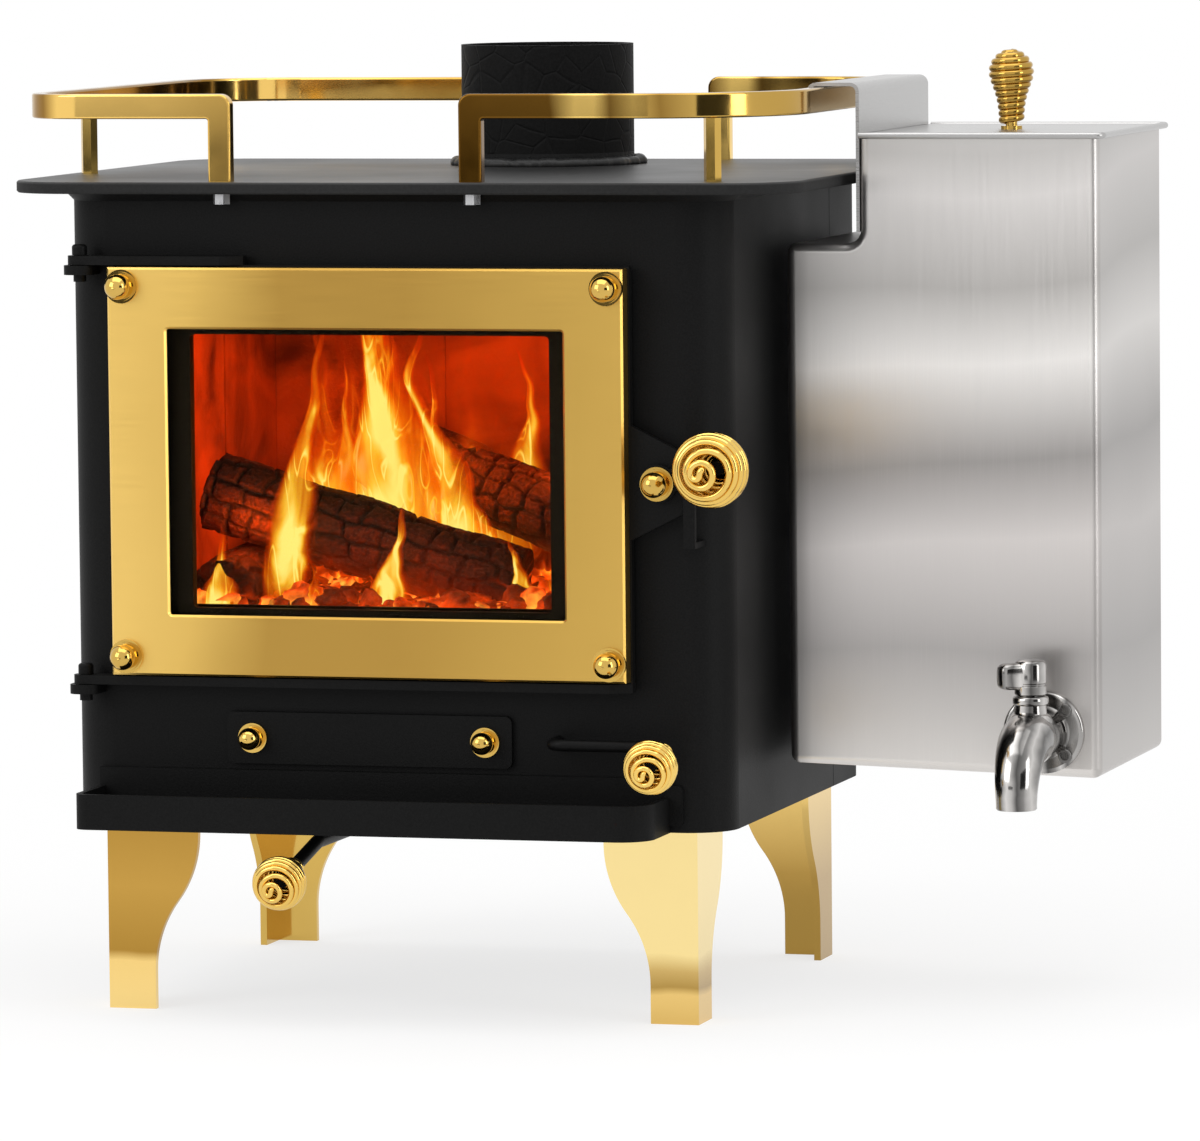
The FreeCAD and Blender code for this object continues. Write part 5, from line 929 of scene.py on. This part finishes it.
def lump(centre, size, dice, points, faces, glow, heat):
    """A broken piece of charcoal with rounded facets."""
    first = len(points)
    stretch = Vector([dice.uniform(*limits) for limits in LUMP_STRETCH])
    shift = Vector([dice.uniform(0, NOISE_SPREAD) for _ in range(3)])
    for i in range(LUMP_ROWS):
        polar = math.pi * i / (LUMP_ROWS - 1)
        level = math.sin(polar)
        for j in range(LUMP_COLUMNS):
            turn = 2 * math.pi * j / LUMP_COLUMNS
            way = Vector((level * math.cos(turn), level * math.sin(turn), math.cos(polar)))
            reach = size * (LUMP_FULLNESS + LUMP_BREAKAGE * noise.noise(way * LUMP_SCALE + shift))
            points.append(centre + way * stretch * reach)
            under = 0.5 - 0.5 * way.z
            patch = WARM_PATCH * noise.noise(way * WARM_SCALE + shift)
            glow.append(max(0.0, min(1.0, heat * (WARM_LEAST + WARM_UNDER * under + patch))))
    faces.extend(face[::-1] for face in grid_faces(LUMP_ROWS, LUMP_COLUMNS, first, True))


def heap(points, faces, glow):
    """The body of the heap: an uneven top, and a skirt and a floor that close it."""
    wide = BED_HIGH.x - BED_LOW.x - 2 * HEAP_INSET
    deep = BED_HIGH.y - BED_LOW.y - 2 * HEAP_INSET
    for i in range(HEAP_ROWS):
        for j in range(HEAP_COLUMNS):
            x = BED_LOW.x + HEAP_INSET + wide * j / (HEAP_COLUMNS - 1)
            y = BED_LOW.y + HEAP_INSET + deep * i / (HEAP_ROWS - 1)
            edge = min(x - BED_LOW.x, BED_HIGH.x - x, y - BED_LOW.y, BED_HIGH.y - y)
            drop = max(0.0, HEAP_RIM - edge) * HEAP_SLOPE
            rise = HEAP_RELIEF * noise.noise(Vector((x * HEAP_SCALE, y * HEAP_SCALE, HEAP_LAYER)))
            points.append((x, y, max(BED_LOW.z + HEAP_LEAST, EMBER_TOP - HEAP_SINK + rise - drop)))
            sample = Vector((x * HEAP_GLOW_SCALE, y * HEAP_GLOW_SCALE, HEAP_GLOW_LAYER))
            glow.append(HEAP_GLOW + HEAP_GLOW_DRIFT * noise.noise(sample))
    faces.extend(grid_faces(HEAP_ROWS, HEAP_COLUMNS, 0, False))
    border = list(range(HEAP_COLUMNS))
    border += [i * HEAP_COLUMNS + HEAP_COLUMNS - 1 for i in range(1, HEAP_ROWS)]
    border += [(HEAP_ROWS - 1) * HEAP_COLUMNS + j for j in range(HEAP_COLUMNS - 2, -1, -1)]
    border += [i * HEAP_COLUMNS for i in range(HEAP_ROWS - 2, 0, -1)]
    first = len(points)
    for k in border:
        points.append((points[k][0], points[k][1], BED_LOW.z))
        glow.append(0.0)
    for k, spot in enumerate(border):
        after = (k + 1) % len(border)
        faces.append((border[after], spot, first + k, first + after))
    faces.append(tuple(range(len(points) - 1, first - 1, -1)))


def make_embers():
    """A heap of charcoal on the ember bed, hot between the pieces."""
    dark, light, hot = (0.006, 0.003, 0.001), (0.06, 0.021, 0.006), (1.0, 0.55, 0.08)
    paint = glowing("ember_glow", dark, light, hot, strength=2.3, grain=500)
    dice = random.Random(EMBER_SEED)
    points, faces, glow = [], [], []
    heap(points, faces, glow)
    deep = BED_HIGH.y - BED_LOW.y - LUMP_ENDS_INSET
    for _ in range(LUMPS):
        x = dice.uniform(BED_LOW.x + LUMP_SIDE_INSET, BED_HIGH.x - LUMP_SIDE_INSET)
        y = BED_LOW.y + LUMP_FRONT_INSET + deep * dice.random() ** LUMP_CROWDING
        size = dice.uniform(*LUMP_SIZES)
        centre = Vector((x, y, EMBER_TOP - LUMP_SINK + size * dice.uniform(*LUMP_LIFT)))
        lump(centre, size, dice, points, faces, glow, dice.uniform(*LUMP_HEAT))
    embers = new_object("ember_heap", points, faces, paint, {"glow": [max(0.0, g) for g in glow]})
    handed(embers, "stove", "ember_bed")


# Flames. Each flame: foot, tip, half width, sway and vigour.
FLAMES = (
    ((-0.095, 0.030, 0.178), (-0.095, 0.020, 0.294), 0.048, 0.006, 0.42),
    ((-0.122, 0.020, 0.178), (-0.115, 0.015, 0.290), 0.034, 0.008, 0.40),
    ((-0.058, 0.036, 0.178), (-0.064, 0.030, 0.288), 0.032, 0.008, 0.38),
    ((-0.026, 0.086, 0.180), (-0.032, 0.082, 0.276), 0.027, 0.006, 0.36),
    ((-0.088, -0.008, 0.183), (-0.088, -0.042, 0.325), 0.025, 0.006, 0.72),
    ((-0.086, -0.012, 0.183), (-0.093, -0.044, 0.338), 0.013, 0.006, 1.15),
    ((-0.108, -0.012, 0.192), (-0.086, -0.020, 0.288), 0.012, 0.006, 1.05),
    ((-0.058, -0.010, 0.178), (-0.074, -0.022, 0.294), 0.011, 0.007, 1.05),
    ((-0.046, -0.006, 0.176), (-0.062, -0.004, 0.234), 0.010, 0.005, 1.0),
    ((-0.118, -0.022, 0.188), (-0.108, -0.048, 0.298), 0.016, 0.008, 0.55),
    ((-0.124, -0.062, 0.168), (-0.103, -0.062, 0.304), 0.0095, 0.009, 0.98),
    ((-0.116, 0.002, 0.196), (-0.114, 0.000, 0.276), 0.008, 0.004, 0.72),
    ((-0.074, 0.000, 0.196), (-0.072, 0.000, 0.280), 0.007, 0.004, 0.72),
    ((-0.055, 0.076, 0.194), (-0.056, 0.073, 0.277), 0.0085, 0.006, 0.85),
    ((-0.036, 0.077, 0.190), (-0.040, 0.075, 0.260), 0.007, 0.004, 0.78),
    ((-0.012, 0.060, 0.186), (-0.016, 0.060, 0.252), 0.008, 0.005, 0.72),
    ((-0.078, -0.068, 0.164), (-0.066, -0.066, 0.218), 0.0075, 0.003, 1.0),
    ((-0.147, -0.074, 0.164), (-0.146, -0.072, 0.208), 0.007, 0.003, 0.95),
    ((-0.105, -0.072, 0.164), (-0.108, -0.070, 0.194), 0.006, 0.002, 0.9),
    ((-0.020, -0.052, 0.166), (-0.022, -0.052, 0.202), 0.007, 0.003, 0.9),
    ((-0.009, -0.030, 0.166), (-0.008, -0.030, 0.208), 0.008, 0.003, 0.85),
)
FLAME_ROWS = 72
FLAME_COLUMNS = 21
FLAME_WAVE = 0.008
FLAME_CUP = 0.004
FLAME_WIDER = 1.5
FLAME_ROOT = 0.10
FLAME_SEED_STEP = 4.7
# The outline of a tongue along its length: its waist and belly, its taper and its least shares of width
FLAME_WAIST = 0.45
FLAME_BELLY = 0.55
FLAME_BELLY_START = 0.18
FLAME_BELLY_RATE = 1.35
FLAME_TAPER = 0.7
FLAME_TIP = 0.02
FLAME_THINNEST = 0.12
FLAME_LICK = 0.35
# How fast each noise runs along a tongue, and how far it sways it
SLOW_RATE = 2.6
QUICK_RATE = 6.5
WAVE_RATE = 1.8
LICK_RATE = 5.0
FRAY_RATE = 5.5
FRAY_ACROSS = 1.7
SLOW_SWAY = 2.2
QUICK_SWAY = 0.7
# How the heat falls off to the sides and to the tip, and how uneven it is
CORE_POWER = 1.7
FADE_POWER = 1.9
FADE_CURVE = 0.8
HEAT_LEVEL = 0.98
HEAT_FRAY = 0.6
# Light passes through this many layers of flame
FLAME_LAYERS = 24


def flame_tongue(index, foot, tip, half, sway, vigour, points, faces, heat):
    """A leaf of flame that faces the door, waves and thins out to its tip."""
    first = len(points)
    seed = index * FLAME_SEED_STEP
    foot = Vector(foot)
    way = Vector(tip) - foot
    for i in range(FLAME_ROWS):
        t = i / (FLAME_ROWS - 1)
        slow = noise.noise(Vector((t * SLOW_RATE + seed, seed * 0.3, 0.0)))
        quick = noise.noise(Vector((t * QUICK_RATE + seed, seed * 0.7, 2.0)))
        middle = foot + way * t
        middle.x += sway * (SLOW_SWAY * slow + QUICK_SWAY * quick) * t
        middle.y += FLAME_WAVE * noise.noise(Vector((seed, t * WAVE_RATE, 3.0)))
        belly = math.sin(math.pi * min(1.0, FLAME_BELLY_START + FLAME_BELLY_RATE * t))
        swell = max(FLAME_THINNEST, FLAME_WAIST + FLAME_BELLY * belly)
        lick = 1 + FLAME_LICK * noise.noise(Vector((seed, t * LICK_RATE, 9.0)))
        width = half * max(FLAME_TIP, (1 - t) ** FLAME_TAPER) * swell * lick * FLAME_WIDER
        rise = min(1.0, t / FLAME_ROOT)
        fade = max(0.0, 1 - t ** FADE_POWER) ** FADE_CURVE
        for j in range(FLAME_COLUMNS):
            s = 2 * j / (FLAME_COLUMNS - 1) - 1
            fray = noise.noise(Vector((s * FRAY_ACROSS + seed, t * FRAY_RATE - seed, 5.0)))
            points.append((middle.x + s * width, middle.y + FLAME_CUP * s * s, middle.z))
            core = max(0.0, 1 - abs(s) ** CORE_POWER)
            heat.append(max(0.0, vigour * core * rise * fade * (HEAT_LEVEL + HEAT_FRAY * fray)))
    faces.extend(grid_faces(FLAME_ROWS, FLAME_COLUMNS, first, False))


def make_flames():
    points, faces, heat = [], [], []
    for index, flame in enumerate(FLAMES, 1):
        flame_tongue(index, *flame, points, faces, heat)
    flames = new_object("flames", points, faces, flame_light(), {"fire_heat": heat})
    handed(flames, "stove", None)


# Studio. Each soft box: name, place, target, width, height and power.
SOFT_BOXES = (
    ("key_box", (-1.9, -2.3, 1.5), (0, 0, 0.2), 1.7, 1.7, 22),
    ("top_box", (0.0, -0.3, 2.3), (0, 0, 0.2), 2.4, 2.2, 24),
    ("side_box", (2.3, -0.9, 0.8), (0.1, 0, 0.2), 0.6, 1.6, 12),
)
# Each upright card: name, its two ends on the ground plan, its foot and its top
DARK_CARDS = (
    ("front_card", (-1.35, -2.5), (-0.15, -2.5), 0.08, 0.30),
    ("side_card", (1.3, -1.9), (1.9, -1.0), 0.05, 1.0),
)
# Each lamp in the fire: name, place, power, colour and radius
FIRE_LAMPS = (
    ("fire_middle", (-0.085, -0.005, 0.248), 1.15, (1.0, 0.15, 0.009), 0.02),
    ("fire_left", (-0.137, -0.060, 0.206), 0.26, (1.0, 0.14, 0.008), 0.015),
    ("fire_right", (-0.020, 0.020, 0.225), 0.36, (1.0, 0.14, 0.008), 0.015),
    ("fire_front", (-0.070, -0.082, 0.186), 0.15, (1.0, 0.14, 0.008), 0.012),
)
FLOOR_HALF = 40.0
FLOOR_NEAR = 0.35
FLOOR_FAR = 0.95
FILL_LIGHT = 0.55
SEEN_LIGHT = 1.0
WHITE = (1, 1, 1, 1)
# The camera: its place from a point before the middle of the base plate's front edge, and its angles
CAMERA_PLACE = Vector((1.03167, -3.30091, 0.40911))
CAMERA_BASE = 0.0043
CAMERA_YAW = math.radians(15.9)
CAMERA_PITCH = math.radians(4.98)
CAMERA_ROLL = math.radians(-0.57)
CAMERA_LENS = 246.5
CAMERA_SENSOR = 36
CAMERA_CLIP = 60


def soft_box(name, place, target, width, height, power):
    data = bpy.data.lights.new(name, "AREA")
    data.shape = "RECTANGLE"
    data.size = width
    data.size_y = height
    data.energy = power
    lamp = bpy.data.objects.new(name, data)
    lamp.location = place
    lamp.rotation_euler = (Vector(target) - Vector(place)).to_track_quat("-Z", "Y").to_euler()
    lamp.visible_camera = False
    scene.collection.objects.link(lamp)


def dark_card(name, start, end, foot, top):
    """A dark sheet out of view that gives bright metal something to mirror."""
    paint = Paint(name, Roughness=1.0, Specular_IOR_Level=0.0)
    paint.mottle(paint.noise(2.0, detail=1), grey(0.03), grey(0.06))
    corners = [(*start, foot), (*end, foot), (*end, top), (*start, top)]
    card = new_object(name, corners, [(0, 1, 2, 3)], paint, smooth=False)
    card.visible_camera = False
    card.visible_diffuse = False
    card.visible_transmission = False
    card.visible_shadow = False


def fire_lamp(name, place, power, colour, radius):
    data = bpy.data.lights.new(name, "POINT")
    data.energy = power
    data.color = colour
    data.shadow_soft_size = radius
    lamp = bpy.data.objects.new(name, data)
    lamp.location = place
    lamp.visible_camera = False
    lamp.visible_transmission = False
    lamp.visible_glossy = False
    scene.collection.objects.link(lamp)


def make_lights():
    for box in SOFT_BOXES:
        soft_box(*box)
    for card in DARK_CARDS:
        dark_card(*card)
    for lamp in FIRE_LAMPS:
        fire_lamp(*lamp)


def make_floor():
    """Pale floor that takes a light shadow and turns white a little way off."""
    paint = Paint("studio_floor", Roughness=0.9, Specular_IOR_Level=0.0, Emission_Color=WHITE)
    away = paint.add("ShaderNodeVectorMath", operation="LENGTH")
    paint.join(paint.place, away.inputs[0])
    far = away.outputs["Value"]
    paint.mottle(far, grey(0.28), grey(0.0), FLOOR_NEAR, FLOOR_FAR)
    paint.feed(paint.span(far, 0.74, 1.0, FLOOR_NEAR, FLOOR_FAR), "Emission Strength")
    half = FLOOR_HALF
    corners = [(-half, -half, 0), (half, -half, 0), (half, half, 0), (-half, half, 0)]
    new_object("floor", corners, [(0, 1, 2, 3)], paint, smooth=False)


def make_world():
    """White wherever it is seen, straight, in metal or through glass, and a softer fill light."""
    world = bpy.data.worlds.new("studio")
    scene.world = world
    world.use_nodes = True
    tree = world.node_tree
    tree.nodes.clear()
    out = tree.nodes.new("ShaderNodeOutputWorld")
    mix = tree.nodes.new("ShaderNodeMixShader")
    path = tree.nodes.new("ShaderNodeLightPath")
    for socket, strength in ((1, FILL_LIGHT), (2, SEEN_LIGHT)):
        shade = tree.nodes.new("ShaderNodeBackground")
        shade.inputs["Color"].default_value = WHITE
        shade.inputs["Strength"].default_value = strength
        tree.links.new(shade.outputs["Background"], mix.inputs[socket])
    seen = path.outputs["Is Camera Ray"]
    for kind in ("Is Glossy Ray", "Is Transmission Ray"):
        either = tree.nodes.new("ShaderNodeMath")
        either.operation = "MAXIMUM"
        tree.links.new(seen, either.inputs[0])
        tree.links.new(path.outputs[kind], either.inputs[1])
        seen = either.outputs["Value"]
    tree.links.new(seen, mix.inputs["Fac"])
    tree.links.new(mix.outputs["Shader"], out.inputs["Surface"])


def make_camera():
    low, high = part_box("base_plate")
    origin = Vector(((low.x + high.x) / 2, low.y - CAMERA_BASE, low.z))
    flat = math.cos(CAMERA_PITCH)
    ahead = Vector((-math.sin(CAMERA_YAW) * flat, math.cos(CAMERA_YAW) * flat, -math.sin(CAMERA_PITCH)))
    level = Vector((math.cos(CAMERA_YAW), math.sin(CAMERA_YAW), 0))
    plumb = level.cross(ahead)
    right = level * math.cos(CAMERA_ROLL) + plumb * math.sin(CAMERA_ROLL)
    up = plumb * math.cos(CAMERA_ROLL) - level * math.sin(CAMERA_ROLL)
    data = bpy.data.cameras.new("camera")
    data.lens = CAMERA_LENS
    data.sensor_width = CAMERA_SENSOR
    data.sensor_fit = "HORIZONTAL"
    data.clip_end = CAMERA_CLIP
    camera = bpy.data.objects.new("camera", data)
    turn = Matrix((right, up, -ahead)).transposed().to_4x4()
    camera.matrix_world = Matrix.Translation(origin + CAMERA_PLACE) @ turn
    scene.collection.objects.link(camera)
    scene.camera = camera


scene.view_settings.view_transform = "Standard"
scene.cycles.transparent_max_bounces = FLAME_LAYERS
paints = make_paints()
paint_nodes(paints)
make_coils(paints)
make_tap(paints["polished_tap"], paints["dark_steel"])
make_weld(paints["weld_paint"])
make_logs()
make_embers()
make_flames()
make_floor()
make_world()
make_lights()
make_camera()
